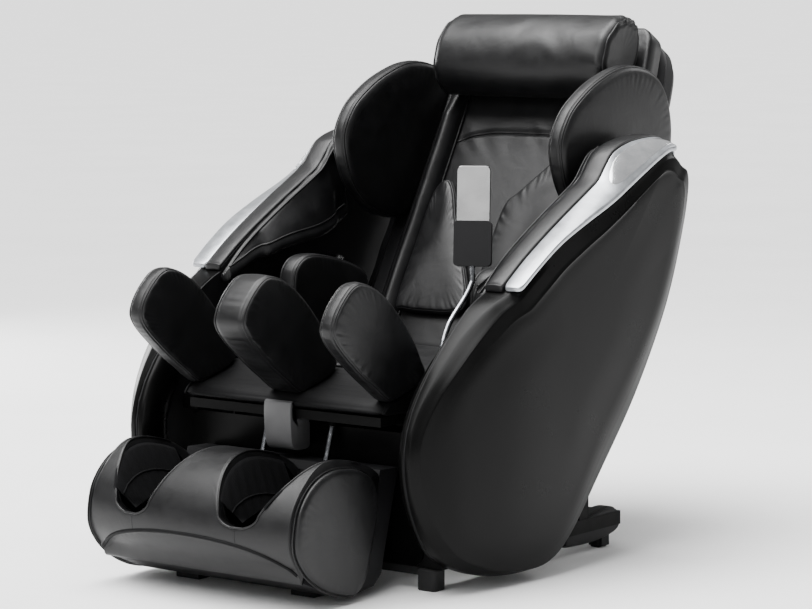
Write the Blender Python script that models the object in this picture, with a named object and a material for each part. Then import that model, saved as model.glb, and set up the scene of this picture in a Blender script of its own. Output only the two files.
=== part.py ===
"""Reclining massage chair with side panels, calf fins, foot unit and a massage carriage.

Metres, +Z up, the sitter faces -Y. The floor is Z = 0. Each moving body hangs on an empty that
stands on its joint's axis. Shapes are worked out in the chair's own coordinates, and the whole
chair is centred over its footprint at the end.
"""
import math

import bmesh
import bpy
from mathutils import Vector

# ---------------------------------------------------------------- driving dimensions (metres)
GAP = 0.0003                     # clearance between pieces that touch

# side panels and armrests
HALF_WIDTH = 0.460               # centre line to the widest point of a side panel, at the rear
PANEL_INNER_X = 0.356            # inner face of the armrest liner
LINER_WALL = 0.004
SHELL_WALL = 0.004
TRIM_WIDTH = 0.053               # silver strip, at the rear
TRIM_HEIGHT = 0.0117
TRIM_FRONT_Y, TRIM_REAR_Y = -0.182, 0.430

# seat
SEAT_TOP = 0.430
SEAT_FRONT_Y, SEAT_REAR_Y = -0.180, 0.195
SEAT_HALF_WIDTH = 0.228
SEAT_PAN_TOP = 0.352
THIGH_PAD_INNER_X = 0.235
THIGH_PAD_WIDTH = 0.050

# base frame
RAIL_WIDTH = 0.040
RAIL_HEIGHT = 0.030
FLOOR_RAIL_Z = 0.045             # underside of the floor rails
FRAME_FRONT_Y, FRAME_REAR_Y = -0.330, 0.330
SEAT_RAIL_TOP = 0.345
CROSS_BARS = (-0.200, 0.080)     # front faces of the bars under the seat
MOTOR_HALF = 0.024               # half the width of a drive's motor case
COVER_WALL = 0.004
COVER_TOP = 0.318                # top of the front cover, below the calf frame
PIVOT_PIN_RADIUS = 0.008
PIN_CLEARANCE = 0.0005
PIN_REACH = 0.014                # how far a pin enters its tube

# backrest
RECLINE_Y, RECLINE_Z = 0.190, 0.335
RECLINE_RANGE = 45.0             # degrees
BACK_LEAN = math.radians(29.5)   # from upright
BACK_FOOT_Y, BACK_FOOT_Z = 0.229, 0.433   # where the back meets the seat
BACK_LOW, BACK_LENGTH = -0.030, 0.800     # lower edge of the cushion, and its upper edge
BACK_HALF_WIDTH = 0.270
BACK_TOP_HALF_WIDTH = 0.243      # above the shoulder wings
BACK_TAPER_S = 0.620             # where the back starts to narrow
BACK_CORNER = 0.035              # radius of its upper corners
BACK_PAD_THICKNESS = 0.050
BACK_DEPTH = 0.150               # cushion face to the back of the shell
ROLL_INNER_X = BACK_HALF_WIDTH - 0.070    # a round roll runs up each side of the cushion
ROLL_OUTER_X = BACK_HALF_WIDTH - 0.015
ROLL_HEIGHT = 0.030
RAIL_INNER_X = 0.215             # guide rails of the massage carriage
CARRIAGE_TRAVEL = 0.400
WING_WIDTH = 0.050
PILLOW_HALF_WIDTH = 0.238
RECLINE_LEVER = 0.140
RECLINE_ACTUATOR_X = -0.060

# legrest
LEG_PIVOT_Y, LEG_PIVOT_Z = -0.250, 0.330
LEG_RANGE = 45.0                 # degrees
LEG_SLANT = math.radians(17.0)   # slide direction, from plumb
LEG_LEVER = 0.100
LEG_ACTUATOR_X = 0.060
CALF_HALF_WIDTH = 0.275
FIN_WIDTH = 0.044
CENTRE_FIN_WIDTH = 0.088
SLIDE_ROD_X = 0.085
SLIDE_ROD_RADIUS = 0.0065
FOOT_TRAVEL = 0.120
SLIDE_ROD_LENGTH = 0.150 + FOOT_TRAVEL    # it stays 150 mm in its sockets and sleeves

# foot unit
FOOT_HALF_WIDTH = 0.258          # foot base, without the leather ends
FOOT_END_WIDTH = 0.026           # leather end cushion
WELL_X = 0.140                   # middle of a foot well
WELL_HALF_WIDTH = 0.048          # at the floor
WELL_FLARE = 0.105               # at the top
SOLE_ROLLER_Y, SOLE_ROLLER_Z = -0.580, 0.0965
SOLE_ROLLER_RADIUS = 0.016

# remote control
STALK_RADIUS = 0.006
REMOTE_WIDTH = 0.072
REMOTE_HEIGHT = 0.176
REMOTE_THICKNESS = 0.018
REMOTE_YAW = math.radians(30.0)
REMOTE_TILT = math.radians(8.0)
KEY_TRAVEL = 0.0015

PINS = 24                        # sides of round pieces


# ---------------------------------------------------------------- scene and materials
def clear_scene():
    for item in list(bpy.data.objects):
        bpy.data.objects.remove(item, do_unlink=True)


def linear(channel):
    """One sRGB channel, 0 to 1, as linear light."""
    return channel / 12.92 if channel <= 0.04045 else ((channel + 0.055) / 1.055) ** 2.4


def material(name, srgb, roughness, metallic=0.0):
    """A plain Principled material from an sRGB hex colour."""
    finish = bpy.data.materials.new(name)
    finish.use_nodes = True
    shader = finish.node_tree.nodes["Principled BSDF"]
    channels = [linear(int(srgb[i:i + 2], 16) / 255) for i in (0, 2, 4)]
    shader.inputs["Base Color"].default_value = (*channels, 1.0)
    shader.inputs["Roughness"].default_value = roughness
    shader.inputs["Metallic"].default_value = metallic
    return finish


# ---------------------------------------------------------------- curves and outlines
def smooth_curve(points, per_span=3, closed=False):
    """Points along a Catmull-Rom curve through the given points."""
    count = len(points)
    spans = count if closed else count - 1
    result = []
    for span in range(spans):
        if closed:
            p0, p1, p2, p3 = (Vector(points[(span + k) % count]) for k in (-1, 0, 1, 2))
        else:
            p0, p1, p2, p3 = (Vector(points[min(max(span + k, 0), count - 1)])
                              for k in (-1, 0, 1, 2))
        for step in range(per_span):
            t = step / per_span
            result.append(tuple(0.5 * (2 * p1 + (p2 - p0) * t
                                       + (2 * p0 - 5 * p1 + 4 * p2 - p3) * t * t
                                       + (3 * p1 - p0 - 3 * p2 + p3) * t ** 3)))
    if not closed:
        result.append(tuple(points[-1]))
    return result


def height_at(points, y):
    """Height of a smooth curve z(y) given by rising y."""
    if y <= points[0][0]:
        return points[0][1]
    if y >= points[-1][0]:
        return points[-1][1]
    k = max(i for i in range(len(points) - 1) if points[i][0] <= y)
    slopes = []
    for i in (k, k + 1):
        low, high = max(i - 1, 0), min(i + 1, len(points) - 1)
        slopes.append((points[high][1] - points[low][1]) / (points[high][0] - points[low][0]))
    span = points[k + 1][0] - points[k][0]
    t = (y - points[k][0]) / span
    return ((2 * t ** 3 - 3 * t ** 2 + 1) * points[k][1] + (t ** 3 - 2 * t ** 2 + t) * span * slopes[0]
            + (3 * t ** 2 - 2 * t ** 3) * points[k + 1][1] + (t ** 3 - t ** 2) * span * slopes[1])


def counter_clockwise(outline):
    area = sum(a[0] * b[1] - b[0] * a[1] for a, b in zip(outline, outline[1:] + outline[:1]))
    return outline if area > 0 else outline[::-1]


def inset(outline, distance):
    """The outline moved inwards, along the mean normal at each point."""
    result = []
    for i, point in enumerate(outline):
        before = Vector(point) - Vector(outline[i - 1])
        after = Vector(outline[(i + 1) % len(outline)]) - Vector(point)
        tangent = before.normalized() + after.normalized()
        if tangent.length < 1e-9:
            tangent = after
        tangent.normalize()
        result.append((point[0] - tangent.y * distance, point[1] + tangent.x * distance))
    return result


def middle(outline):
    return (sum(p[0] for p in outline) / len(outline), sum(p[1] for p in outline) / len(outline))


def toward_middle(outline, share):
    """The outline scaled about its middle."""
    cu, cv = middle(outline)
    return [(cu + (u - cu) * share, cv + (v - cv) * share) for u, v in outline]


def rounded_rectangle(u0, u1, v0, v1, radius, steps=4):
    """Rectangle outline whose corners are arcs."""
    corners = [(u1 - radius, v0 + radius, -90), (u1 - radius, v1 - radius, 0),
               (u0 + radius, v1 - radius, 90), (u0 + radius, v0 + radius, 180)]
    outline = []
    for cu, cv, start in corners:
        for k in range(steps + 1):
            angle = math.radians(start + 90 * k / steps)
            outline.append((cu + radius * math.cos(angle), cv + radius * math.sin(angle)))
    return outline


def circle(cu, cv, radius, sides=PINS):
    return [(cu + radius * math.cos(2 * math.pi * k / sides),
             cv + radius * math.sin(2 * math.pi * k / sides)) for k in range(sides)]


# ---------------------------------------------------------------- solids as (vertices, faces)
def skin(rings, ends=(True, True)):
    """Quads between rings of equally many points, with each end filled."""
    count = len(rings[0])
    vertices = [tuple(point) for ring in rings for point in ring]
    faces = []
    for r in range(len(rings) - 1):
        for i in range(count):
            j = (i + 1) % count
            faces.append((r * count + i, r * count + j, (r + 1) * count + j, (r + 1) * count + i))
    for wanted, start in zip(ends, (0, (len(rings) - 1) * count)):
        if wanted == "fan":
            hub = len(vertices)
            ring = vertices[start:start + count]
            vertices.append(tuple(sum(p[k] for p in ring) / count for k in range(3)))
            faces += [(hub, start + i, start + (i + 1) % count) for i in range(count)]
        elif wanted:
            faces.append(tuple(range(start, start + count)))
    return vertices, faces


def along_x(u, v, w):
    """Outline in the side view (y, z), thickness along X."""
    return (w, u, v)


def prism(outline, low, high, place=along_x, chamfer=0.0):
    """An outline drawn out from low to high, with chamfered ends if asked."""
    outline = counter_clockwise(list(outline))
    if chamfer:
        layers = [(chamfer, low), (0, low + chamfer), (0, high - chamfer), (chamfer, high)]
    else:
        layers = [(0, low), (0, high)]
    rings = [[place(u, v, w) for u, v in inset(outline, d)] for d, w in layers]
    return skin(rings)


def box(x0, x1, y0, y1, z0, z1):
    return prism([(y0, z0), (y1, z0), (y1, z1), (y0, z1)], x0, x1)


def rod(start, end, radius, sides=PINS, inner=0.0):
    """A round bar between two points, or a tube when inner is given."""
    start, end = Vector(start), Vector(end)
    axis = (end - start).normalized()
    side = axis.cross(Vector((0, 0, 1)) if abs(axis.z) < 0.9 else Vector((1, 0, 0))).normalized()
    other = axis.cross(side)

    def ring(centre, r):
        return [centre + r * (math.cos(a) * side + math.sin(a) * other)
                for a in (2 * math.pi * k / sides for k in range(sides))]
    if not inner:
        return skin([ring(start, radius), ring(end, radius)])
    rings = [ring(start, inner), ring(start, radius), ring(end, radius), ring(end, inner)]
    vertices, faces = skin(rings, ends=(False, False))
    last = 3 * sides
    faces += [(last + i, last + (i + 1) % sides, (i + 1) % sides, i) for i in range(sides)]
    return vertices, faces


def swept_rod(points, radius, sides=12):
    """A round bar along a curved path."""
    points = [Vector(p) for p in points]
    side = Vector((1, 0, 0))
    rings = []
    for i, point in enumerate(points):
        ahead = points[min(i + 1, len(points) - 1)] - points[max(i - 1, 0)]
        ahead.normalize()
        side = (side - ahead * side.dot(ahead)).normalized()
        other = ahead.cross(side)
        rings.append([point + radius * (math.cos(a) * side + math.sin(a) * other)
                      for a in (2 * math.pi * k / sides for k in range(sides))])
    return skin(rings)


def pad(outline, thickness, crown, edge, place=along_x, seam=0.003, flat_back=False):
    """A stuffed pad: crowned faces, round edges and sides drawn in at the seam.

    The rim is a quarter circle of radius edge, the faces rise by crown to the middle, and the
    ring half way through the thickness is drawn in by seam.
    """
    outline = counter_clockwise(list(outline))
    half = thickness / 2
    rim = [(edge * (1 - math.cos(a)), half - edge * (1 - math.sin(a)))
           for a in (math.radians(d) for d in (90, 45, 0))]
    face = inset(outline, edge)
    rings = []
    for share in (0.03, 0.6):
        height = half + crown * (1 - share * share)
        rings.append([place(u, v, height) for u, v in toward_middle(face, share)])
    for depth, height in rim:
        rings.append([place(u, v, height) for u, v in inset(outline, depth)])
    rings.append([place(u, v, 0.0) for u, v in inset(outline, seam)])
    if flat_back:
        rings.append([place(u, v, -half) for u, v in outline])
        return skin(rings)
    for depth, height in reversed(rim):
        rings.append([place(u, v, -height) for u, v in inset(outline, depth)])
    for share in (0.6, 0.03):
        height = half + crown * (1 - share * share)
        rings.append([place(u, v, -height) for u, v in toward_middle(face, share)])
    return skin(rings)


def mirrored(solid):
    vertices, faces = solid
    return [(-x, y, z) for x, y, z in vertices], [tuple(reversed(face)) for face in faces]


def combine(base, tools, operation="UNION"):
    """Closed solids joined into one, or cut out of the first."""
    def helper(solid):
        mesh = bpy.data.meshes.new("helper")
        mesh.from_pydata([tuple(v) for v in solid[0]], [], solid[1])
        work = bmesh.new()
        work.from_mesh(mesh)
        bmesh.ops.recalc_face_normals(work, faces=work.faces)
        work.to_mesh(mesh)
        work.free()
        item = bpy.data.objects.new("helper", mesh)
        bpy.context.scene.collection.objects.link(item)
        return item
    target = helper(base)
    cutters = [helper(tool) for tool in tools]
    for cutter in cutters:
        step = target.modifiers.new("boolean", "BOOLEAN")
        step.operation = operation
        step.solver = "EXACT"
        step.object = cutter
    bpy.context.view_layer.update()
    graph = bpy.context.evaluated_depsgraph_get()
    mesh = bpy.data.meshes.new_from_object(target.evaluated_get(graph))
    solid = ([tuple(v.co) for v in mesh.vertices], [tuple(p.vertices) for p in mesh.polygons])
    for item in [target, *cutters]:
        bpy.data.objects.remove(item, do_unlink=True)
    return solid


# ---------------------------------------------------------------- bodies and pieces
def joint(name, location, parent=None):
    """An empty on a joint's axis that carries one moving body."""
    empty = bpy.data.objects.new(name, None)
    bpy.context.scene.collection.objects.link(empty)
    empty.parent = parent
    empty.location = Vector(location) - (Vector(parent["axis_point"]) if parent else Vector())
    empty["axis_point"] = tuple(location)
    return empty


def piece(name, solid, finish, body, smooth_angle=38.0):
    """One named solid, parented to the empty of its body."""
    mesh = bpy.data.meshes.new(name)
    mesh.from_pydata([tuple(v) for v in solid[0]], [], solid[1])
    work = bmesh.new()
    work.from_mesh(mesh)
    bmesh.ops.recalc_face_normals(work, faces=work.faces)
    work.to_mesh(mesh)
    work.free()
    mesh.materials.append(finish)
    mesh.shade_smooth()
    mesh.set_sharp_from_angle(angle=math.radians(smooth_angle))
    item = bpy.data.objects.new(name, mesh)
    bpy.context.scene.collection.objects.link(item)
    item.parent = body
    item.location = -Vector(body["axis_point"])
    return item


def both_sides(name, solid, finish, body, smooth_angle=38.0):
    """A piece on the sitter's left (+X) and its mirror image on the right."""
    piece(name + "_left", solid, finish, body, smooth_angle)
    piece(name + "_right", mirrored(solid), finish, body, smooth_angle)


# ---------------------------------------------------------------- backrest coordinates
UP_Y, UP_Z = math.sin(BACK_LEAN), math.cos(BACK_LEAN)


def back_place(x, s, n):
    """A point x across, s up along the back and n in front of the cushion's face."""
    return (x, BACK_FOOT_Y + s * UP_Y - n * UP_Z, BACK_FOOT_Z + s * UP_Z + n * UP_Y)


def back_coordinates(y, z):
    """The s and n of a point in the side view."""
    dy, dz = y - BACK_FOOT_Y, z - BACK_FOOT_Z
    return dy * UP_Y + dz * UP_Z, -dy * UP_Z + dz * UP_Y


def half_width_at(s):
    """Half the width of the backrest: straight sides that draw in above the wings."""
    share = min(1.0, max(0.0, (s - BACK_TAPER_S) / (BACK_LENGTH - BACK_CORNER - BACK_TAPER_S)))
    width = BACK_HALF_WIDTH - (BACK_HALF_WIDTH - BACK_TOP_HALF_WIDTH) * share * share * (3 - 2 * share)
    above = min(1.0, max(0.0, (s - BACK_LENGTH + BACK_CORNER) / BACK_CORNER))
    return width - BACK_CORNER * (1 - math.sqrt(1 - above * above))


def back_outline(margin):
    """Front view of the backrest's shell, from its lower edge round, margin outside the cushion."""
    corner = 0.060
    right = [(BACK_HALF_WIDTH + margin - corner * (1 - math.sin(a)), BACK_LOW + corner * (1 - math.cos(a)))
             for a in (math.radians(18 * k) for k in range(6))]
    levels = [BACK_TAPER_S, 0.660, 0.700, 0.740]
    levels += [BACK_LENGTH - BACK_CORNER * (1 - math.sin(math.radians(15 * k))) for k in range(6)]
    right += [(half_width_at(s) + margin, s) for s in levels]
    right.append((half_width_at(BACK_LENGTH) + margin * 0.3, BACK_LENGTH + margin))
    return right + [(-x, s) for x, s in reversed(right)]


def back_box(x0, x1, s0, s1, n0, n1):
    outline = [(s0, n0), (s1, n0), (s1, n1), (s0, n1)]
    return prism(outline, x0, x1, place=lambda s, n, x: back_place(x, s, n))


# ---------------------------------------------------------------- legrest coordinates
DOWN_Y, DOWN_Z = -math.sin(LEG_SLANT), -math.cos(LEG_SLANT)
SLIDE_ROD_TOP_Y, SLIDE_ROD_TOP_Z = -0.3402, 0.3368


def leg_place(x, a, b):
    """A point x across, a down along the slide from the rods' top and b in front of them."""
    return (x, SLIDE_ROD_TOP_Y + a * DOWN_Y + b * DOWN_Z, SLIDE_ROD_TOP_Z + a * DOWN_Z - b * DOWN_Y)


# ---------------------------------------------------------------- side panels
PANEL_BULGE = [(-0.450, 0.29), (-0.400, 0.48), (-0.330, 0.66), (-0.182, 0.87), (0.000, 0.95),
               (0.200, 0.99), (0.350, 1.00)]   # share of the armrest's width that the panel reaches
TRIM_OUTER = [(-0.182, 0.614), (-0.116, 0.660), (-0.045, 0.702), (0.040, 0.738), (0.134, 0.773),
              (0.203, 0.803), (0.267, 0.834), (0.328, 0.863), (0.366, 0.876), (0.403, 0.873),
              (0.433, 0.850), (0.450, 0.815)]
TRIM_INNER = [(-0.182, 0.6145), (-0.116, 0.661), (-0.045, 0.704), (0.040, 0.751), (0.115, 0.790),
              (0.158, 0.815), (0.186, 0.845), (0.212, 0.869), (0.262, 0.887), (0.326, 0.896),
              (0.381, 0.896), (0.418, 0.882), (0.450, 0.840)]
PANEL_LOWER = [(-0.245, 0.572), (-0.330, 0.502), (-0.405, 0.424), (-0.451, 0.345), (-0.460, 0.262),
               (-0.432, 0.165), (-0.370, 0.078), (-0.266, 0.030), (-0.150, 0.012), (-0.062, 0.020),
               (0.012, 0.066), (0.113, 0.174), (0.256, 0.338), (0.377, 0.522), (0.442, 0.680),
               (0.464, 0.780)]
TRIM_STEPS = 14


def top_stations():
    return [TRIM_FRONT_Y + (TRIM_REAR_Y - TRIM_FRONT_Y) * k / TRIM_STEPS
            for k in range(TRIM_STEPS + 1)]


def panel_x(y):
    """Outer face of a side panel: it toes in to the front."""
    start = PANEL_INNER_X + LINER_WALL + GAP
    return start + (HALF_WIDTH - start) * height_at(PANEL_BULGE, y)


def trim_inner_x(y):
    """Inner edge of the silver strip, which narrows with the armrest."""
    outer = panel_x(y)
    return outer - TRIM_WIDTH * (outer - PANEL_INNER_X) / (HALF_WIDTH - PANEL_INNER_X)


def panel_outline(top, drop):
    """Side view of a panel: its top edge a little below the given curve, then the egg."""
    upper = [(y, height_at(top, y) - drop) for y in top_stations()]
    lower = smooth_curve([upper[0], *PANEL_LOWER, (TRIM_REAR_Y + 0.026, 0.828), upper[-1]], 2)
    return upper[::-1] + lower[1:-1], len(upper)


def side_panels(body, finish):
    """Moulded shells, open towards the liner, that toe in to the front, with a rounded rim."""
    outline, top_count = panel_outline(TRIM_OUTER, TRIM_HEIGHT + GAP)
    steep = [1.0 if i < top_count else 0.0 for i in range(len(outline))]
    turned = counter_clockwise(outline)
    if turned is not outline:
        steep = steep[::-1]
    steep = [sum(steep[(i + k) % len(steep)] for k in (-1, 0, 1)) / 3 for i in range(len(steep))]
    start = PANEL_INNER_X + LINER_WALL + GAP

    def shell_rings(wall):
        base = inset(turned, wall)
        rings = [[(start, u, v) for u, v in base]]
        rounding = ((0.0, 0.35), (0.006, 0.62), (0.020, 0.85), (0.045, 0.97))
        for depth, share in rounding:
            ring = inset(base, depth)
            shares = [share + (0.97 - share) * s for s in steep]
            rings.append([(start + (panel_x(u) - start) * q - wall, u, v)
                          for q, (u, v) in zip(shares, ring)])
        face = inset(base, rounding[-1][0])
        for share, bulge in ((0.62, 0.99), (0.02, 1.0)):
            rings.append([(start + (panel_x(u) - start) * bulge - wall, u, v)
                          for u, v in toward_middle(face, share)])
        return rings
    outer, inner = shell_rings(0.0), shell_rings(SHELL_WALL)
    both_sides("side_panel", skin(inner[::-1] + outer), finish, body)


def side_liners(body, finish):
    """Inner wall of the armrest, with the black band that runs beside the silver strip."""
    outline, _ = panel_outline(TRIM_OUTER, TRIM_HEIGHT + GAP)
    wall = prism(inset(counter_clockwise(outline), 0.001), PANEL_INNER_X, PANEL_INNER_X + LINER_WALL)
    inner_x = PANEL_INNER_X
    rings = []
    for y in top_stations():
        outer_x = trim_inner_x(y) - GAP
        low = height_at(TRIM_OUTER, y) - TRIM_HEIGHT
        high = height_at(TRIM_INNER, y) - 0.001
        rings.append([(inner_x, y, low), (outer_x, y, low), (outer_x, y, high),
                      (inner_x + 0.15 * (outer_x - inner_x), y, high), (inner_x, y, high - 0.004)])
    foot = [[(inner_x, y, height_at(TRIM_OUTER, y) - TRIM_HEIGHT - 0.012),
             (inner_x + LINER_WALL, y, height_at(TRIM_OUTER, y) - TRIM_HEIGHT - 0.012),
             (inner_x + LINER_WALL, y, height_at(TRIM_OUTER, y) - TRIM_HEIGHT + 0.002),
             (inner_x, y, height_at(TRIM_OUTER, y) - TRIM_HEIGHT + 0.002)] for y in top_stations()]
    both_sides("side_liner", combine(skin(rings), [skin(foot), wall]), finish, body)


def armrest_trims(body, finish):
    """Silver strip on the armrest: flat in front, tilting outwards over the rear hump."""
    rings = []
    for y in top_stations():
        outer_x = panel_x(y)
        inner_x = trim_inner_x(y)
        low = height_at(TRIM_OUTER, y) - TRIM_HEIGHT
        outer = height_at(TRIM_OUTER, y)
        inner = height_at(TRIM_INNER, y)
        rings.append([(inner_x, y, low), (outer_x - 0.003, y, low), (outer_x, y, low + 0.003),
                      (outer_x, y, outer - 0.003), (outer_x - 0.004, y, outer),
                      (inner_x + 0.004, y, inner), (inner_x, y, inner - 0.003)])
    both_sides("armrest_trim", skin(rings), finish, body)


# ---------------------------------------------------------------- arm, thigh and seat cushions
LIP = [(-0.190, 0.590), (-0.133, 0.612), (-0.090, 0.630), (-0.004, 0.654), (0.094, 0.668),
       (0.175, 0.687), (0.240, 0.712)]
LIP_X = [(-0.200, 0.328), (-0.085, 0.327), (-0.050, 0.308), (0.100, 0.304), (0.170, 0.315),
         (0.200, 0.3285), (0.260, 0.3285)]
ARM_PAD_FRONT_Y, ARM_PAD_REAR_Y = -0.185, 0.235
SLOT_HEIGHT = 0.078
ARM_LOWER_FRONT_Y, ARM_LOWER_REAR_Y = -0.090, 0.190
ARM_LOWER_INNER_X = 0.300


def arm_pads(body, finish):
    """Forearm cushions: an overhanging upper pad with a lip, and a lower pad under the slot."""
    wall = PANEL_INNER_X - GAP
    rings = []
    steps = 14
    for k in range(steps + 1):
        t = k / steps
        y = ARM_PAD_FRONT_Y + (ARM_PAD_REAR_Y - ARM_PAD_FRONT_Y) * t
        nose = 1 - math.exp(-14 * t)
        top = height_at(TRIM_INNER, y) - 0.004
        lip = height_at(LIP, y)
        top = lip + (top - lip) * (0.25 + 0.75 * nose)
        lip_x = height_at(LIP_X, y)
        rings.append([(wall, y, lip - 0.012), (lip_x + 0.010, y, lip - 0.014),
                      (lip_x, y, lip - 0.003), (lip_x + 0.002, y, lip + 0.012),
                      (lip_x + 0.45 * (wall - lip_x) - 0.005, y, lip + 0.55 * (top - lip) + 0.004),
                      (wall - 0.012, y, top - 0.006), (wall - 0.006, y, top), (wall, y, top - 0.003)])
    both_sides("arm_pad_upper", skin(rings), finish, body)

    outline = []
    for k in range(7):
        y = ARM_LOWER_FRONT_Y + (ARM_LOWER_REAR_Y - ARM_LOWER_FRONT_Y) * k / 6
        outline.append((y, height_at(LIP, y) - 0.014 - SLOT_HEIGHT))
    rear_low = (ARM_LOWER_REAR_Y - 0.030, SEAT_PAN_TOP + 0.040)
    front_low = (ARM_LOWER_FRONT_Y + 0.010, SEAT_PAN_TOP + 0.040)
    outline = [front_low, rear_low] + outline[::-1]
    middle_x = (ARM_LOWER_INNER_X + wall) / 2
    lower = pad(outline, wall - ARM_LOWER_INNER_X - 0.006, 0.003, 0.012,
                place=lambda u, v, w: (middle_x + w, u, v))
    both_sides("arm_pad_lower", lower, finish, body)


def thigh_pads(body, finish):
    """Upright hip cushions beside the seat, standing on the pan."""
    low = SEAT_PAN_TOP + GAP
    outline = smooth_curve([(-0.074, 0.580), (-0.060, 0.612), (-0.030, 0.629), (0.014, 0.630),
                            (0.080, 0.618), (0.140, 0.600), (0.185, 0.575), (0.190, 0.530),
                            (0.160, 0.470), (0.126, 0.400), (0.110, 0.362), (0.096, low), (0.020, low),
                            (-0.055, low), (-0.072, 0.372), (-0.076, 0.490)], 1, closed=True)
    middle_x = THIGH_PAD_INNER_X + THIGH_PAD_WIDTH / 2
    both_sides("thigh_pad", pad(outline, THIGH_PAD_WIDTH - 0.006, 0.003, 0.012,
                                place=lambda u, v, w: (middle_x + w, u, v)), finish, body)


def seat_cushion(body, finish):
    """Crowned seat pad resting on the pan, its front edge rounded over."""
    outline = rounded_rectangle(-SEAT_HALF_WIDTH, SEAT_HALF_WIDTH, SEAT_FRONT_Y, SEAT_REAR_Y, 0.05, 5)
    bottom = SEAT_PAN_TOP + GAP
    thickness = SEAT_TOP - 0.008 - bottom
    cushion = pad(outline, thickness, 0.008, 0.024, flat_back=True,
                  place=lambda u, v, w: (u, v, bottom + thickness / 2 + w))
    piece("seat_cushion", cushion, finish, body)


# ---------------------------------------------------------------- base frame and what it carries
def base_frame(body, finish):
    """Welded frame: floor rails, posts, seat rails, pan and the fixed pivot pins."""
    outer = PANEL_INNER_X - GAP
    inner = outer - RAIL_WIDTH
    floor_top = FLOOR_RAIL_Z + RAIL_HEIGHT
    seat_low = SEAT_RAIL_TOP - RAIL_HEIGHT
    parts = []
    for side in (1, -1):
        parts.append(box(min(side * inner, side * outer), max(side * inner, side * outer),
                         FRAME_FRONT_Y, FRAME_REAR_Y, FLOOR_RAIL_Z, floor_top))
        parts.append(box(min(side * inner, side * outer), max(side * inner, side * outer),
                         -0.310, RECLINE_Y + 0.020, seat_low, SEAT_RAIL_TOP))
        for y0, y1 in ((-0.225, -0.190), (RECLINE_Y - 0.020, RECLINE_Y + 0.015)):
            parts.append(box(min(side * inner, side * outer) + 0.001,
                             max(side * inner, side * outer) - 0.001,
                             y0, y1, floor_top - 0.005, seat_low + 0.005))
        for y, z, reach in ((LEG_PIVOT_Y, LEG_PIVOT_Z, CALF_HALF_WIDTH - PIN_REACH),
                            (RECLINE_Y, RECLINE_Z, CALF_HALF_WIDTH - PIN_REACH)):
            parts.append(rod((side * reach, y, z), (side * (inner + 0.010), y, z), PIVOT_PIN_RADIUS))
    cross_half = inner + 0.010
    for y0 in (FRAME_FRONT_Y + 0.001, FRAME_REAR_Y - 0.031):
        parts.append(box(-cross_half, cross_half, y0, y0 + 0.030, FLOOR_RAIL_Z + 0.001, floor_top - 0.001))
    for y0 in CROSS_BARS:
        parts.append(box(-cross_half, cross_half, y0, y0 + 0.025, seat_low + 0.002, SEAT_RAIL_TOP - 0.001))
    parts.append(box(-CALF_HALF_WIDTH, CALF_HALF_WIDTH, SEAT_FRONT_Y - 0.008, SEAT_REAR_Y - 0.060,
                     SEAT_RAIL_TOP - 0.005, SEAT_PAN_TOP))
    stalk_x, stalk_y = STALK_FOOT
    parts.append(box(stalk_x - 0.012, inner + 0.010, stalk_y - 0.012, stalk_y + 0.012,
                     SEAT_RAIL_TOP - 0.012, SEAT_RAIL_TOP - 0.002))
    for x, y0, axis_z in ((RECLINE_ACTUATOR_X, CROSS_BARS[0], RECLINE_DRIVE_Z),
                          (LEG_ACTUATOR_X, CROSS_BARS[1], LEG_DRIVE_Z)):
        for side in (1, -1):
            x0, x1 = sorted((x + side * (MOTOR_HALF + GAP), x + side * (MOTOR_HALF + GAP + 0.005)))
            parts.append(box(x0, x1, y0 + 0.002, y0 + 0.023, axis_z - 0.015, seat_low + 0.006))
    base = combine(parts[0], parts[1:])
    socket = rod((stalk_x, stalk_y, SEAT_RAIL_TOP - 0.0121), (stalk_x, stalk_y, SEAT_RAIL_TOP + 0.030),
                 STALK_RADIUS + 0.0055, 16)
    bore = rod((stalk_x, stalk_y, SEAT_RAIL_TOP - 0.004), (stalk_x, stalk_y, SEAT_RAIL_TOP + 0.031),
               STALK_RADIUS + 0.0007, 16)
    base = combine(combine(base, [socket]), [bore], "DIFFERENCE")
    piece("base_frame", base, finish, body)


def feet(bodies, plastic, rubber):
    """A foot bar under the front of the frame and a sloped foot cover under each rear rail end."""
    body = bodies["base"]
    outer = PANEL_INNER_X - 0.006
    bar = box(-outer + 0.020, outer - 0.020, -0.326, -0.296, 0.028, FLOOR_RAIL_Z - GAP)
    pads = []
    for side in (1, -1):
        x0, x1 = sorted((side * (outer - 0.050), side * (outer - 0.004)))
        pads.append(prism(rounded_rectangle(x0, x1, -0.342, -0.302, 0.008), 0.0, FLOOR_RAIL_Z - GAP - 0.001,
                          place=lambda u, v, w: (u, v, w), chamfer=0.002))
    piece("front_foot_bar", combine(bar, pads), rubber, body)
    outline = [(0.120, 0.018), (0.262, 0.018), (0.266, 0.0), (0.292, 0.0), (0.296, 0.018),
               (0.336, 0.034), (0.337, 0.066), (FRAME_REAR_Y + GAP, 0.088),
               (FRAME_REAR_Y + GAP, FLOOR_RAIL_Z - GAP), (0.120, FLOOR_RAIL_Z - GAP)]
    inner = PANEL_INNER_X - RAIL_WIDTH
    both_sides("rear_foot", prism(outline, inner - 0.004, PANEL_INNER_X - 0.002, chamfer=0.002),
               plastic, body)


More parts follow.
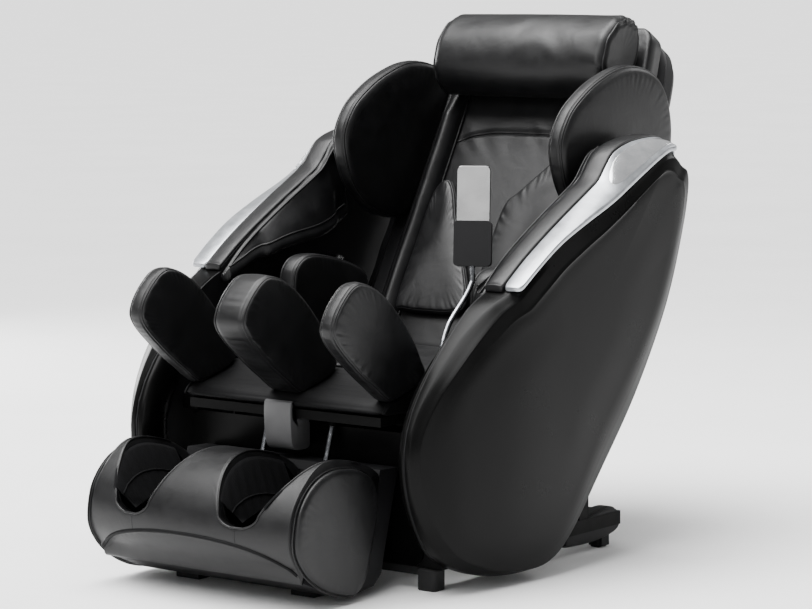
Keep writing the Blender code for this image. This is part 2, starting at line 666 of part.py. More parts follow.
def under_seat(bodies, plastic, panel, key):
    """Front cover plate, air pump, control box with its mains inlet and the rocker switch."""
    body = bodies["base"]
    plate = rounded_rectangle(-0.310, 0.310, FLOOR_RAIL_Z + 0.001, COVER_TOP, 0.028)
    cross_front = FRAME_FRONT_Y + 0.001
    piece("front_cover", prism(plate, cross_front - GAP - COVER_WALL, cross_front - GAP,
                               place=lambda u, v, w: (u, w, v)), panel, body)
    floor_top = FLOOR_RAIL_Z + RAIL_HEIGHT
    tray_z = floor_top - 0.001 + GAP
    pump = rounded_rectangle(-0.250, -0.100, tray_z, tray_z + 0.080, 0.012)
    rear_cross = FRAME_REAR_Y - 0.031
    front_cross = FRAME_FRONT_Y + 0.001
    pump_box = prism(pump, front_cross + 0.004, -0.120, place=lambda u, v, w: (u, w, v), chamfer=0.003)
    piece("air_pump", pump_box, plastic, body)
    case = prism(rounded_rectangle(0.080, 0.260, tray_z, tray_z + 0.060, 0.006),
                 rear_cross + 0.002, rear_cross + 0.029, place=lambda u, v, w: (u, w, v))
    inlet = box(0.105, 0.133, rear_cross + 0.015, rear_cross + 0.040, tray_z + 0.018, tray_z + 0.040)
    window = box(0.180, 0.202, rear_cross + 0.012, rear_cross + 0.040, tray_z + 0.0175, tray_z + 0.0405)
    piece("control_box", combine(case, [inlet, window], "DIFFERENCE"), plastic, body)
    centre_z = tray_z + 0.029
    face_y = rear_cross + 0.029
    rocker = [(face_y - 0.014, centre_z - 0.0060), (face_y - 0.014, centre_z + 0.0060),
              (face_y + 0.0035, centre_z + 0.0085), (face_y + 0.0005, centre_z),
              (face_y + 0.0005, centre_z - 0.0085)]
    piece("power_switch", prism(rocker, 0.1805, 0.2015), key, bodies["switch"])


# ---------------------------------------------------------------- backrest pieces
PIVOT_S, PIVOT_N = back_coordinates(RECLINE_Y, RECLINE_Z)
RAIL_DEPTH = 0.035
SCREW_N = -0.135
SCREW_RADIUS = 0.006
SHAFT_S, SHAFT_N = 0.130, -0.092  # kneading shaft, with the carriage at its lowest
CARRIAGE_HALF = 0.060            # half its length along the back
CROSS_S = (0.024, SHAFT_S + CARRIAGE_HALF + CARRIAGE_TRAVEL + 0.010)   # lower and upper cross bar


def back_frame(body, finish):
    """Guide rails, cross bars, the torque tube on the recline axis and the lever on it."""
    front = -BACK_PAD_THICKNESS - GAP
    rear = front - RAIL_DEPTH
    rail_outer = RAIL_INNER_X + 0.022
    parts = []
    for side in (1, -1):
        x0, x1 = sorted((side * RAIL_INNER_X, side * rail_outer))
        parts.append(back_box(x0, x1, BACK_LOW + 0.002, 0.700, rear, front))
        arm = [(PIVOT_S - 0.013, PIVOT_N), (PIVOT_S + 0.006, PIVOT_N + 0.012),
               (BACK_LOW - 0.004, -0.028), (BACK_LOW - 0.004, front - 0.002),
               (BACK_LOW + 0.020, front - 0.002), (BACK_LOW + 0.060, rear + 0.004),
               (BACK_LOW + 0.020, rear + 0.001), (PIVOT_S + 0.010, PIVOT_N - 0.036)]
        parts.append(prism(arm, x0 + 0.003, x1 - 0.003, place=lambda s, n, x: back_place(x, s, n)))
        x0, x1 = sorted((side * (RAIL_INNER_X + 0.001), side * (RAIL_INNER_X + 0.010)))
        for s in CROSS_S:
            parts.append(back_box(x0, x1, s, s + 0.025, -BACK_DEPTH + SHELL_WALL + GAP, rear + 0.004))
    for s in CROSS_S:
        parts.append(back_box(-RAIL_INNER_X - 0.008, RAIL_INNER_X + 0.008, s + 0.001, s + 0.024,
                              -BACK_DEPTH + SHELL_WALL + GAP + 0.001, SCREW_N + 0.010))
    tube_half = CALF_HALF_WIDTH
    tube = rod((-tube_half, RECLINE_Y, RECLINE_Z), (tube_half, RECLINE_Y, RECLINE_Z), 0.0145)
    swing = math.radians(RECLINE_RANGE / 2)
    tip_y = RECLINE_Y + RECLINE_LEVER * math.sin(swing)
    tip_z = RECLINE_Z - RECLINE_LEVER * math.cos(swing)
    for offset in (-0.0165, 0.0125):
        plate = lever_outline(RECLINE_Y, RECLINE_Z, tip_y, tip_z)
        parts.append(prism(plate, RECLINE_ACTUATOR_X + offset, RECLINE_ACTUATOR_X + offset + 0.004))
    frame = combine(tube, parts)
    bores = [rod((side * (tube_half - PIN_REACH - 0.002), RECLINE_Y, RECLINE_Z),
                 (side * (tube_half + 0.002), RECLINE_Y, RECLINE_Z),
                 PIVOT_PIN_RADIUS + PIN_CLEARANCE) for side in (1, -1)]
    piece("back_frame", combine(frame, bores, "DIFFERENCE"), finish, body)


def lever_outline(y0, z0, y1, z1, width=0.011):
    """Side view of a lever plate from its pivot to a rounded tip."""
    along = Vector((y1 - y0, z1 - z0)).normalized()
    across = Vector((-along.y, along.x))
    tip = Vector((y1, z1))
    root = Vector((y0, z0))
    outline = [tuple(root + across * width), tuple(root - across * width)]
    for k in range(7):
        angle = math.pi * k / 6
        outline.append(tuple(tip - across * width * math.cos(angle) + along * width * math.sin(angle)))
    return outline


FLANK_OUTER_X = 0.322            # side walls of the shell, beside the cushion below the wings
FLANK_FRONT = -BACK_PAD_THICKNESS - 2 * GAP
FLANK = [(0.030, FLANK_FRONT), (0.030, -0.125), (0.330, -0.125), (0.360, -0.105), (0.360, -0.086),
         (0.322, FLANK_FRONT)]
FLANK_LIP = [(0.032, -0.014), (0.032, -0.070), (0.305, -0.070), (0.300, -0.045), (0.286, -0.020),
             (0.270, -0.012)]


def back_shell(body, finish):
    """Rear shell of the backrest, a dish that opens towards the cushion."""
    outline = counter_clockwise(back_outline(0.0))
    layers = ((0.0, -BACK_PAD_THICKNESS - GAP), (0.0, -0.105), (0.012, -0.134), (0.040, -BACK_DEPTH))

    def rings(wall):
        base = inset(outline, wall)
        built = []
        for depth, n in layers:
            lift = wall if n < -0.1 else 0.0
            built.append([back_place(u, v, n + lift) for u, v in inset(base, depth)])
        return built
    notches = [back_box(side * (RAIL_INNER_X + 0.011) - 0.013, side * (RAIL_INNER_X + 0.011) + 0.013,
                        BACK_LOW - 0.010, BACK_LOW + 0.024, -0.100, -0.040) for side in (1, -1)]
    dish = skin(rings(SHELL_WALL)[::-1] + rings(0.0))
    shell = combine(dish, notches, "DIFFERENCE")
    for side in (1, -1):
        for start, end, outline in ((BACK_HALF_WIDTH - 0.002, FLANK_OUTER_X, FLANK),
                                    (BACK_HALF_WIDTH + GAP, FLANK_OUTER_X - 0.001, FLANK_LIP)):
            x0, x1 = sorted((side * start, side * end))
            wall = prism(outline, x0, x1, place=lambda s, n, x: back_place(x, s, n), chamfer=0.001)
            shell = combine(shell, [wall])
    piece("back_shell", shell, finish, body)


def back_face(x, s):
    """Height of the cushion's face: crowned middle, grooves, and a round roll on each side."""
    x = abs(x)
    edge = min(1.0, (BACK_HALF_WIDTH - x) / 0.012, (s - BACK_LOW) / 0.012, (BACK_LENGTH - s) / 0.012)
    height = 0.004 * (1 - (x / ROLL_INNER_X) ** 2) if x < ROLL_INNER_X else 0.0
    fade = min(1.0, max(0.0, (0.65 - s) / 0.10)) * min(1.0, max(0.0, (s + 0.02) / 0.06))
    if ROLL_INNER_X < x < ROLL_OUTER_X:
        t = (x - ROLL_INNER_X) / (ROLL_OUTER_X - ROLL_INNER_X)
        height = ROLL_HEIGHT * math.sin(math.pi * t) * fade
    if abs(x - ROLL_INNER_X) < 0.002 or abs(x - ROLL_OUTER_X) < 0.002:
        height = -0.008 * fade
    seam = SEAM_S - 0.03 * (x / ROLL_INNER_X) ** 4
    if x < ROLL_INNER_X - 0.001 and abs(s - seam) < 0.008:
        height = -0.004
    return height - 0.010 * (1 - math.sqrt(max(0.0, edge * (2 - edge))))


SEAM_S = 0.520


def back_pad(body, finish):
    """The back cushion as one sewn pad: a grid of its face over a flat back."""
    half = [ROLL_INNER_X * share for share in (0.0, 0.30, 0.60, 0.80, 0.96, 1.0)]
    half += [ROLL_INNER_X + (ROLL_OUTER_X - ROLL_INNER_X) * share for share in (0.2, 0.5, 0.8, 1.0)]
    half += [(ROLL_OUTER_X + BACK_HALF_WIDTH) / 2, BACK_HALF_WIDTH]
    columns = [-x for x in half[:0:-1]] + half
    low, high = BACK_LOW, BACK_LENGTH
    rows = [low, low + 0.006, low + 0.02, 0.06, 0.14, 0.22, 0.30, 0.38, 0.46, SEAM_S - 0.012, SEAM_S,
            SEAM_S + 0.012, 0.58, 0.64, 0.70, 0.745, high - 0.035, high - 0.020, high - 0.008, high]
    wide, tall = len(columns), len(rows)
    vertices = [back_place(x * half_width_at(s) / BACK_HALF_WIDTH, s, back_face(x, s))
                for s in rows for x in columns]
    faces = []
    for r in range(tall - 1):
        for c in range(wide - 1):
            faces.append((r * wide + c, r * wide + c + 1, (r + 1) * wide + c + 1, (r + 1) * wide + c))
    border = list(range(wide)) + [r * wide + wide - 1 for r in range(1, tall)]
    border += [(tall - 1) * wide + c for c in range(wide - 2, -1, -1)]
    border += [r * wide for r in range(tall - 2, 0, -1)]
    start = len(vertices)
    points = [(c, r) for r in range(tall) for c in range(wide)]
    for index in border:
        c, r = points[index]
        share = half_width_at(rows[r]) / BACK_HALF_WIDTH
        vertices.append(back_place(columns[c] * share, rows[r], -BACK_PAD_THICKNESS))
    count = len(border)
    for i in range(count):
        j = (i + 1) % count
        faces.append((border[i], start + i, start + j, border[j]))
    faces.append(tuple(start + i for i in range(count)))
    piece("back_pad", (vertices, faces), finish, body)


LEFT_FLAP = [(0.192, 0.060), (0.192, 0.400), (0.165, 0.448), (0.130, 0.452), (0.100, 0.435),
             (0.040, 0.365), (0.008, 0.310), (0.008, 0.080), (0.040, 0.055)]


def lumbar_flaps(body, finish):
    """Waist flaps that lie on the back cushion, their piped edges running to the middle."""
    thickness = 0.024
    base = 0.004 + GAP + thickness / 2
    outline = smooth_curve(LEFT_FLAP, 2, closed=True)
    flap = pad(outline, thickness, 0.003, 0.009, flat_back=True, seam=0.001,
               place=lambda u, v, w: back_place(u, v, base + w))
    both_sides("lumbar_flap", flap, finish, body)


WING = [(0.153, 0.880), (0.185, 0.945), (0.240, 0.988), (0.310, 1.022), (0.400, 1.046),
        (0.486, 1.040), (0.548, 1.010), (0.585, 0.955), (0.596, 0.880), (0.572, 0.790),
        (0.500, 0.722), (0.400, 0.690), (0.295, 0.698), (0.221, 0.741), (0.174, 0.800)]


def wings(body, finish):
    """Shoulder wings, thick discs on the sides of the backrest."""
    outline = smooth_curve(WING, 2, closed=True)
    half = (WING_WIDTH - 0.003) / 2
    middle_x = BACK_HALF_WIDTH + GAP + half
    wing = pad(outline, 2 * half, 0.003, 0.016, flat_back=True,
               place=lambda u, v, w: (middle_x + w, u, v))
    both_sides("wing", wing, finish, body)


PILLOW_DROP = 0.114              # middle of the pillow, below the top of the back


def pillow(body, finish):
    """Head pillow: a drooping roll with drawn-in ends."""
    count = 20
    rings = []
    for x, share in ((-1.0, 0.55), (-0.965, 0.82), (-0.90, 0.94), (-0.6, 1.0), (0.0, 1.03),
                     (0.6, 1.0), (0.90, 0.94), (0.965, 0.82), (1.0, 0.55)):
        ring = []
        for k in range(count):
            angle = 2 * math.pi * k / count
            s = BACK_LENGTH - PILLOW_DROP + 0.100 * share * math.cos(angle)
            forward = math.sin(angle)
            belly = 0.074 + 0.012 * (1 - math.cos(angle)) / 2
            n = 0.062 + share * forward * (belly if forward > 0 else 0.0560)
            ring.append(back_place(x * PILLOW_HALF_WIDTH, s, n))
        rings.append(ring)
    piece("pillow", skin(rings, ends=("fan", "fan")), finish, body, 60)


# ---------------------------------------------------------------- massage gear
ROLLER_REACH = 0.056
ROLLER_RADIUS = 0.024
ROLLER_WIDTH = 0.030
ARM_X = 0.060


def massage_gear(bodies, steel, plastic, rubber):
    """Carriage on the guide rails, its screw, the kneading shaft, and the arms with rollers."""
    screw_low = CROSS_S[0] + 0.024 + GAP
    screw_high = CROSS_S[1] + 0.001 - GAP
    piece("lead_screw", rod(back_place(0, screw_low, SCREW_N), back_place(0, screw_high, SCREW_N),
                            SCREW_RADIUS, 16), steel, bodies["screw"])

    plate_n = SHAFT_N - ROLLER_RADIUS - 0.010
    front = -BACK_PAD_THICKNESS - GAP
    half = 0.180
    parts = []
    for side in (1, -1):
        x0, x1 = sorted((side * half, side * (RAIL_INNER_X - GAP)))
        for s in (SHAFT_S - 0.055, SHAFT_S + 0.035):
            parts.append(back_box(x0, x1, s, s + 0.020, front - RAIL_DEPTH + 0.006, front - 0.006))
        x0, x1 = sorted((side * (half - 0.005), side * (half + 0.001)))
        parts.append(back_box(x0, x1, SHAFT_S - 0.058, SHAFT_S + 0.058, plate_n - 0.003, front - 0.006))
    parts.append(back_box(-0.018, 0.018, SHAFT_S - 0.020, SHAFT_S + 0.020, SCREW_N - 0.009,
                          plate_n - 0.002))
    plate = back_box(-half, half, SHAFT_S - CARRIAGE_HALF, SHAFT_S + CARRIAGE_HALF, plate_n - 0.004,
                     plate_n)
    carriage = combine(plate, parts)
    bores = [rod(back_place(0, SHAFT_S - 0.070, SCREW_N), back_place(0, SHAFT_S + 0.070, SCREW_N),
                 SCREW_RADIUS + PIN_CLEARANCE, 16),
             rod(back_place(-0.200, SHAFT_S, SHAFT_N), back_place(0.200, SHAFT_S, SHAFT_N), 0.0077, 16)]
    piece("carriage", combine(carriage, bores, "DIFFERENCE"), steel, bodies["carriage"])

    reach = half + 0.004
    shaft = rod(back_place(-reach, SHAFT_S, SHAFT_N), back_place(reach, SHAFT_S, SHAFT_N), 0.007, 16)
    pulley = rod(back_place(-0.020, SHAFT_S, SHAFT_N), back_place(0.010, SHAFT_S, SHAFT_N), 0.015)
    piece("kneading_shaft", combine(shaft, [pulley]), steel, bodies["kneader"])

    def side_place(s, n, x):
        return back_place(x, s, n)
    for side, name in ((1, "left"), (-1, "right")):
        x0, x1 = sorted((side * ARM_X, side * (ARM_X + 0.008)))
        outline = []
        for k in range(9):
            angle = math.pi * k / 8
            outline.append((SHAFT_S - 0.013 * math.sin(angle), SHAFT_N - 0.013 * math.cos(angle)))
        for k in range(7):
            angle = math.pi * k / 6
            outline.append((SHAFT_S + ROLLER_REACH + 0.009 * math.sin(angle),
                            SHAFT_N + 0.009 * math.cos(angle)))
        arm = prism(outline, x0, x1, place=side_place)
        tip = SHAFT_S + ROLLER_REACH
        pin = rod(back_place(side * (ARM_X + 0.004), tip, SHAFT_N),
                  back_place(side * (ARM_X + 0.010 + ROLLER_WIDTH), tip, SHAFT_N), 0.005, 16)
        hub = rod(back_place(side * (ARM_X - 0.012), SHAFT_S, SHAFT_N),
                  back_place(side * (ARM_X + 0.004), SHAFT_S, SHAFT_N), 0.013)
        bore = rod(back_place(side * (ARM_X - 0.020), SHAFT_S, SHAFT_N),
                   back_place(side * (ARM_X + 0.020), SHAFT_S, SHAFT_N), 0.0077, 16)
        solid = combine(combine(arm, [pin, hub]), [bore], "DIFFERENCE")
        piece("massage_arm_" + name, solid, plastic, bodies["arm_" + name])
        start = side * (ARM_X + 0.0085)
        end = side * (ARM_X + 0.0085 + ROLLER_WIDTH)
        roller = rod(back_place(start, tip, SHAFT_N), back_place(end, tip, SHAFT_N), ROLLER_RADIUS,
                     20, inner=0.0056)
        piece("massage_roller_" + name, roller, rubber, bodies["roller_" + name])


def actuator(name, x, fixed_y, axis_z, eye_y, stroke, bodies, plastic, steel):
    """A linear drive: a motor case with its tube, and a ram that ends between the lever plates.

    The lever lies beyond the tube along the sign of eye_y - fixed_y. The ram's eye keeps clear of
    the lever's pin place, where the closed linkage is opened.
    """
    way = 1 if eye_y > fixed_y else -1
    tube_length = abs(eye_y - fixed_y) - 0.018
    if stroke < 0:
        tube_length += stroke
    tube_end = fixed_y + way * tube_length
    y0, y1 = sorted((fixed_y - way * 0.012, fixed_y + way * 0.060))
    case = prism(rounded_rectangle(x - MOTOR_HALF, x + MOTOR_HALF, axis_z - 0.026, axis_z + 0.026, 0.006),
                 y0, y1, place=lambda u, v, w: (u, w, v), chamfer=0.002)
    tube = rod((x, fixed_y + way * 0.050, axis_z), (x, tube_end, axis_z), 0.014)
    bore = rod((x, fixed_y + way * 0.064, axis_z), (x, tube_end + way * 0.004, axis_z), 0.0090)
    piece(name + "_actuator", combine(combine(case, [tube]), [bore], "DIFFERENCE"), plastic, bodies["base"])
    inner_end = fixed_y + way * (0.070 if stroke > 0 else 0.070 - stroke)
    ram = rod((x, inner_end, axis_z), (x, eye_y, axis_z), 0.0083)
    eye = rod((x - 0.010, eye_y, axis_z), (x + 0.010, eye_y, axis_z), 0.011)
    piece(name + "_ram", combine(ram, [eye]), steel, bodies[name + "_ram"])


# ---------------------------------------------------------------- legrest pieces
CALF_TOP = [(-0.404, 0.376), (-0.385, 0.3880), (-0.340, 0.3985), (-0.300, 0.4100), (-0.272, 0.4260)]
FIN_UPPER = [(-0.268, 0.440), (-0.283, 0.468), (-0.306, 0.506), (-0.344, 0.553), (-0.394, 0.600),
             (-0.436, 0.627), (-0.478, 0.641), (-0.510, 0.636), (-0.541, 0.613), (-0.567, 0.582),
             (-0.579, 0.550), (-0.565, 0.520), (-0.532, 0.488), (-0.480, 0.446), (-0.434, 0.414),
             (-0.412, 0.398)]
PAN_TOP = 0.3565                 # top of the calf frame's pan
ROD_SOCKET_A = -0.006            # top of the rods, above the reference point of the slide


def calf_unit(bodies, leather, steel, cover, chrome):
    """Calf frame on its pivot tube, the calf pad, three fins, the slide cover and two rods."""
    body = bodies["legrest"]
    half = CALF_HALF_WIDTH
    tube = rod((-half, LEG_PIVOT_Y, LEG_PIVOT_Z), (half, LEG_PIVOT_Y, LEG_PIVOT_Z), 0.0125)
    pan = prism([(-0.402, 0.337), (-0.402, PAN_TOP), (-0.262, PAN_TOP), (-0.245, 0.338),
                 (-0.262, 0.326), (-0.300, 0.331), (-0.330, 0.337)], -0.255, 0.255)
    sleeves = [rod(leg_place(side * SLIDE_ROD_X, -0.008, 0), leg_place(side * SLIDE_ROD_X, 0.020, 0),
                   SLIDE_ROD_RADIUS + 0.0045) for side in (1, -1)]
    swing = math.radians(LEG_RANGE / 2)
    tip_y = LEG_PIVOT_Y + LEG_LEVER * math.sin(swing)
    tip_z = LEG_PIVOT_Z - LEG_LEVER * math.cos(swing)
    levers = [prism(lever_outline(LEG_PIVOT_Y, LEG_PIVOT_Z, tip_y, tip_z), LEG_ACTUATOR_X + offset,
                    LEG_ACTUATOR_X + offset + 0.004) for offset in (-0.0165, 0.0125)]
    frame = combine(tube, [pan, *levers, *sleeves])
    bores = [rod(leg_place(side * SLIDE_ROD_X, ROD_SOCKET_A, 0), leg_place(side * SLIDE_ROD_X, 0.021, 0),
                 SLIDE_ROD_RADIUS + GAP) for side in (1, -1)]
    bores += [rod((side * (half - PIN_REACH - 0.002), LEG_PIVOT_Y, LEG_PIVOT_Z),
                 (side * (half + 0.002), LEG_PIVOT_Y, LEG_PIVOT_Z),
                 PIVOT_PIN_RADIUS + PIN_CLEARANCE) for side in (1, -1)]
    piece("calf_frame", combine(frame, bores, "DIFFERENCE"), steel, body)

    low = PAN_TOP + GAP
    outline = smooth_curve([(-0.408, 0.362), *CALF_TOP, (-0.262, 0.424), (-0.257, 0.400)], 2)
    fin_seat = [(y, z + 0.0005) for y, z in outline[4:2 * len(CALF_TOP) + 1]]
    outline += [(-0.262, low), (-0.400, low)]
    piece("calf_pad", prism(outline, -half + 0.004, half - 0.004, chamfer=0.004), leather, body)

    for name, centre, width in (("left", half - FIN_WIDTH / 2, FIN_WIDTH),
                                ("centre", 0.0, CENTRE_FIN_WIDTH),
                                ("right", -half + FIN_WIDTH / 2, FIN_WIDTH)):
        fin = pad(FIN_UPPER + fin_seat, width - 0.004, 0.002, 0.010,
                  place=lambda u, v, w, c=centre: (c + w, u, v))
        piece("calf_fin_" + name, fin, leather, body)

    top = [(b * math.tan(LEG_SLANT) + 0.0002, b) for b in (0.010, 0.058)]
    box_outline = counter_clockwise([top[1], (0.060, 0.058), (0.070, 0.050), (0.0745, 0.036),
                                     (0.076, 0.010), top[0]])
    piece("slide_cover", prism(box_outline, -0.036, 0.036, chamfer=0.003,
                               place=lambda a, b, x: leg_place(x, a, b)), cover, body)
    for side, name in ((1, "left"), (-1, "right")):
        x = side * SLIDE_ROD_X
        piece("slide_rod_" + name, rod(leg_place(x, ROD_SOCKET_A + GAP, 0),
                                       leg_place(x, SLIDE_ROD_LENGTH, 0), SLIDE_ROD_RADIUS), chrome, body)


# ---------------------------------------------------------------- foot unit
FOOT_BASE = [(-0.348, 0.250), (-0.408, 0.252), (-0.452, 0.105), (-0.462, 0.072), (-0.560, 0.071),
             (-0.655, 0.070), (-0.662, 0.062), (-0.640, 0.052), (-0.560, 0.018), (-0.500, 0.010),
             (-0.430, 0.018), (-0.404, 0.040), (-0.396, 0.075)]
BOLSTER_OUTER = [(-0.660, 0.0560), (-0.702, 0.093), (-0.726, 0.135), (-0.722, 0.185),
                 (-0.700, 0.226), (-0.665, 0.262), (-0.615, 0.286), (-0.560, 0.292),
                 (-0.500, 0.282), (-0.452, 0.266), (-0.418, 0.246)]
FOOT_END = [(-0.520, 0.012), (-0.575, 0.022), (-0.630, 0.047), (-0.676, 0.084), (-0.702, 0.130),
            (-0.696, 0.190), (-0.676, 0.228), (-0.643, 0.258), (-0.603, 0.274), (-0.560, 0.278),
            (-0.505, 0.270), (-0.460, 0.247), (-0.438, 0.210), (-0.440, 0.160), (-0.456, 0.105),
            (-0.474, 0.050), (-0.492, 0.024)]
FOOT_BOW = 0.022                 # how much further the front reaches at its middle
FOOT_BOW_REAR_Y, FOOT_BOW_LOW = -0.590, 0.075
FLOOR_FRONT = (-0.700, 0.160)    # side view of the well floor
FLOOR_REAR = (-0.440, 0.092)


def bow(x, y, z):
    """How far a point of the bolster's front stands back, since the front is bowed."""
    front = min(1.0, max(0.0, (FOOT_BOW_REAR_Y - y) / 0.080)) if z > FOOT_BOW_LOW else 0.0
    return FOOT_BOW * front * (x / FOOT_HALF_WIDTH) ** 2


def well_cutter(extra, low, high):
    """A trough for one foot: round bottom, flared walls, rising towards the toes.

    extra is added all round, low and high say where the trough's side view starts and ends, in
    shares of the line from the front of the floor to its rear.
    """
    section = []
    for k in range(9):
        angle = math.pi + math.pi * k / 8
        section.append((WELL_X + (WELL_HALF_WIDTH + extra) * math.cos(angle),
                        0.030 + (0.030 + extra) * math.sin(angle)))
    outer = WELL_X + 0.012 + WELL_FLARE + extra
    inner = WELL_X + 0.006 - WELL_FLARE - extra
    section += [(outer, 0.170), (outer, 0.230), (inner, 0.230), (inner, 0.170)]
    rings = []
    for t in (low, high):
        y = FLOOR_FRONT[0] + (FLOOR_REAR[0] - FLOOR_FRONT[0]) * t
        z = FLOOR_FRONT[1] + (FLOOR_REAR[1] - FLOOR_FRONT[1]) * t
        rings.append([(u, y, z + h) for u, h in section])
    return skin(rings)


def foot_unit(bodies, leather, fabric, plastic, steel):
    """Tray with rod sleeves, leather bolster with two wells, fabric liners and the sole roller."""
    body = bodies["foot"]
    tray = prism(FOOT_BASE, -FOOT_HALF_WIDTH, FOOT_HALF_WIDTH)
    extras = [box(side * 0.154 - 0.030, side * 0.154 + 0.030, -0.530, -0.492, 0.0, 0.020)
              for side in (1, -1)]
    extras += [box(min(side * 0.212, side * 0.220), max(side * 0.212, side * 0.220),
                   SOLE_ROLLER_Y - 0.008, SOLE_ROLLER_Y + 0.008, 0.065, SOLE_ROLLER_Z + 0.010)
               for side in (1, -1)]
    tray = combine(tray, extras)
    cuts = [rod(leg_place(side * SLIDE_ROD_X, 0.050, 0), leg_place(side * SLIDE_ROD_X,
                SLIDE_ROD_LENGTH + 0.010, 0), SLIDE_ROD_RADIUS + 0.0006, 16) for side in (1, -1)]
    cuts.append(rod((-0.230, SOLE_ROLLER_Y, SOLE_ROLLER_Z), (0.230, SOLE_ROLLER_Y, SOLE_ROLLER_Z),
                    0.0056, 16))
    cuts.append(box(-0.208, 0.208, SOLE_ROLLER_Y - 0.019, SOLE_ROLLER_Y + 0.019, 0.060, 0.080))
    piece("foot_base", combine(tray, cuts, "DIFFERENCE"), plastic, body)

    outer = smooth_curve(BOLSTER_OUTER, 2)
    clear = GAP + 0.0002
    inner = [(-0.4132 - clear, 0.2350), (-0.452 - clear, 0.105), (-0.462 - clear, 0.072 + clear),
             (-0.560, 0.071 + clear), (-0.655, 0.070 + clear), (-0.662 - clear, 0.0622)]
    profile = outer + inner
    end_inner = FOOT_HALF_WIDTH + GAP
    half = (FOOT_END_WIDTH - GAP) / 2 - 0.002
    reach = end_inner + 0.003
    stations = [reach * share for share in (-1.0, -0.75, -0.5, -0.25, 0.0, 0.25, 0.5, 0.75, 1.0)]
    bolster = skin([[(x, y + bow(x, y, z), z) for y, z in profile] for x in stations])
    end = pad(FOOT_END, 2 * half, 0.004, 0.010, flat_back=True,
              place=lambda u, v, w: (end_inner + half + w, u, v))
    bolster = combine(bolster, [end, mirrored(end)])
    trough = box(-0.224, 0.224, SOLE_ROLLER_Y - 0.021, SOLE_ROLLER_Y + 0.021, 0.060,
                 SOLE_ROLLER_Z + SOLE_ROLLER_RADIUS + 0.003)
    wells = [well_cutter(0.0, -0.25, 1.2), mirrored(well_cutter(0.0, -0.25, 1.2))]
    piece("foot_bolster", combine(bolster, [trough, *wells], "DIFFERENCE"), leather, body)

    limit = [(y + 0.010 if y < -0.6 else y, z - 0.012) for y, z in outer[2:]]
    limit = limit + [(-0.426, 0.200), (-0.455, 0.100), (-0.500, 0.085), (-0.660, 0.100)]
    shell = prism(limit, 0.0, 0.262)
    sleeve = combine(well_cutter(-0.0004, -0.2, 0.94), [shell], "INTERSECT")
    throat = well_cutter(-0.024, -0.3, 1.0)
    lifted = ([(x, y, z + 0.008) for x, y, z in throat[0]], throat[1])
    both_sides("foot_liner", combine(sleeve, [lifted], "DIFFERENCE"), fabric, body)

    shaft = rod((-0.218, SOLE_ROLLER_Y, SOLE_ROLLER_Z), (0.218, SOLE_ROLLER_Y, SOLE_ROLLER_Z), 0.005, 12)
    discs = []
    for x in (-0.160, -0.110, 0.110, 0.160):
        discs.append(rod((x - 0.012, SOLE_ROLLER_Y, SOLE_ROLLER_Z),
                         (x + 0.012, SOLE_ROLLER_Y, SOLE_ROLLER_Z), SOLE_ROLLER_RADIUS, 16))
    piece("sole_roller", combine(shaft, discs), steel, bodies["sole_roller"])


# ---------------------------------------------------------------- remote control
STALK_X = CALF_HALF_WIDTH + 0.027   # beside the calf pad
STALK_FOOT = (STALK_X, -0.268)
STALK_HEAD = (0.2895, -0.1350, 0.678)
STALK = [(STALK_X, -0.268, 0.3425), (STALK_X, -0.2675, 0.400), (STALK_X, -0.264, 0.461),
         (STALK_X - 0.0005, -0.252, 0.503), (STALK_X - 0.003, -0.230, 0.535), (0.296, -0.196, 0.562),
         (0.293, -0.166, 0.584)]
POCKET_WALL = 0.003
HOLDER_LOW, HOLDER_HIGH = -0.032, 0.062
KEYS = (("power_key", 0.0, 0.152, 0.008), ("up_key", -0.016, 0.122, 0.007),
        ("down_key", 0.016, 0.122, 0.007))


def remote_place(u, v, w):
    """u across the remote, v up along it and w out of its back, from the head of the stalk."""
    across = Vector((math.cos(REMOTE_YAW), math.sin(REMOTE_YAW), 0.0))
    level = Vector((math.sin(REMOTE_YAW), -math.cos(REMOTE_YAW), 0.0))
    up = Vector((0, 0, 1)) * math.cos(REMOTE_TILT) - level * math.sin(REMOTE_TILT)
    out = level * math.cos(REMOTE_TILT) + Vector((0, 0, 1)) * math.sin(REMOTE_TILT)
    return tuple(Vector(STALK_HEAD) + across * u + up * v + out * w)


def remote_box(u0, u1, v0, v1, w0, w1, radius=0.0):
    if radius:
        return prism(rounded_rectangle(u0, u1, v0, v1, radius, 3), w0, w1, place=remote_place)
    return prism([(u0, v0), (u1, v0), (u1, v1), (u0, v1)], w0, w1, place=remote_place)


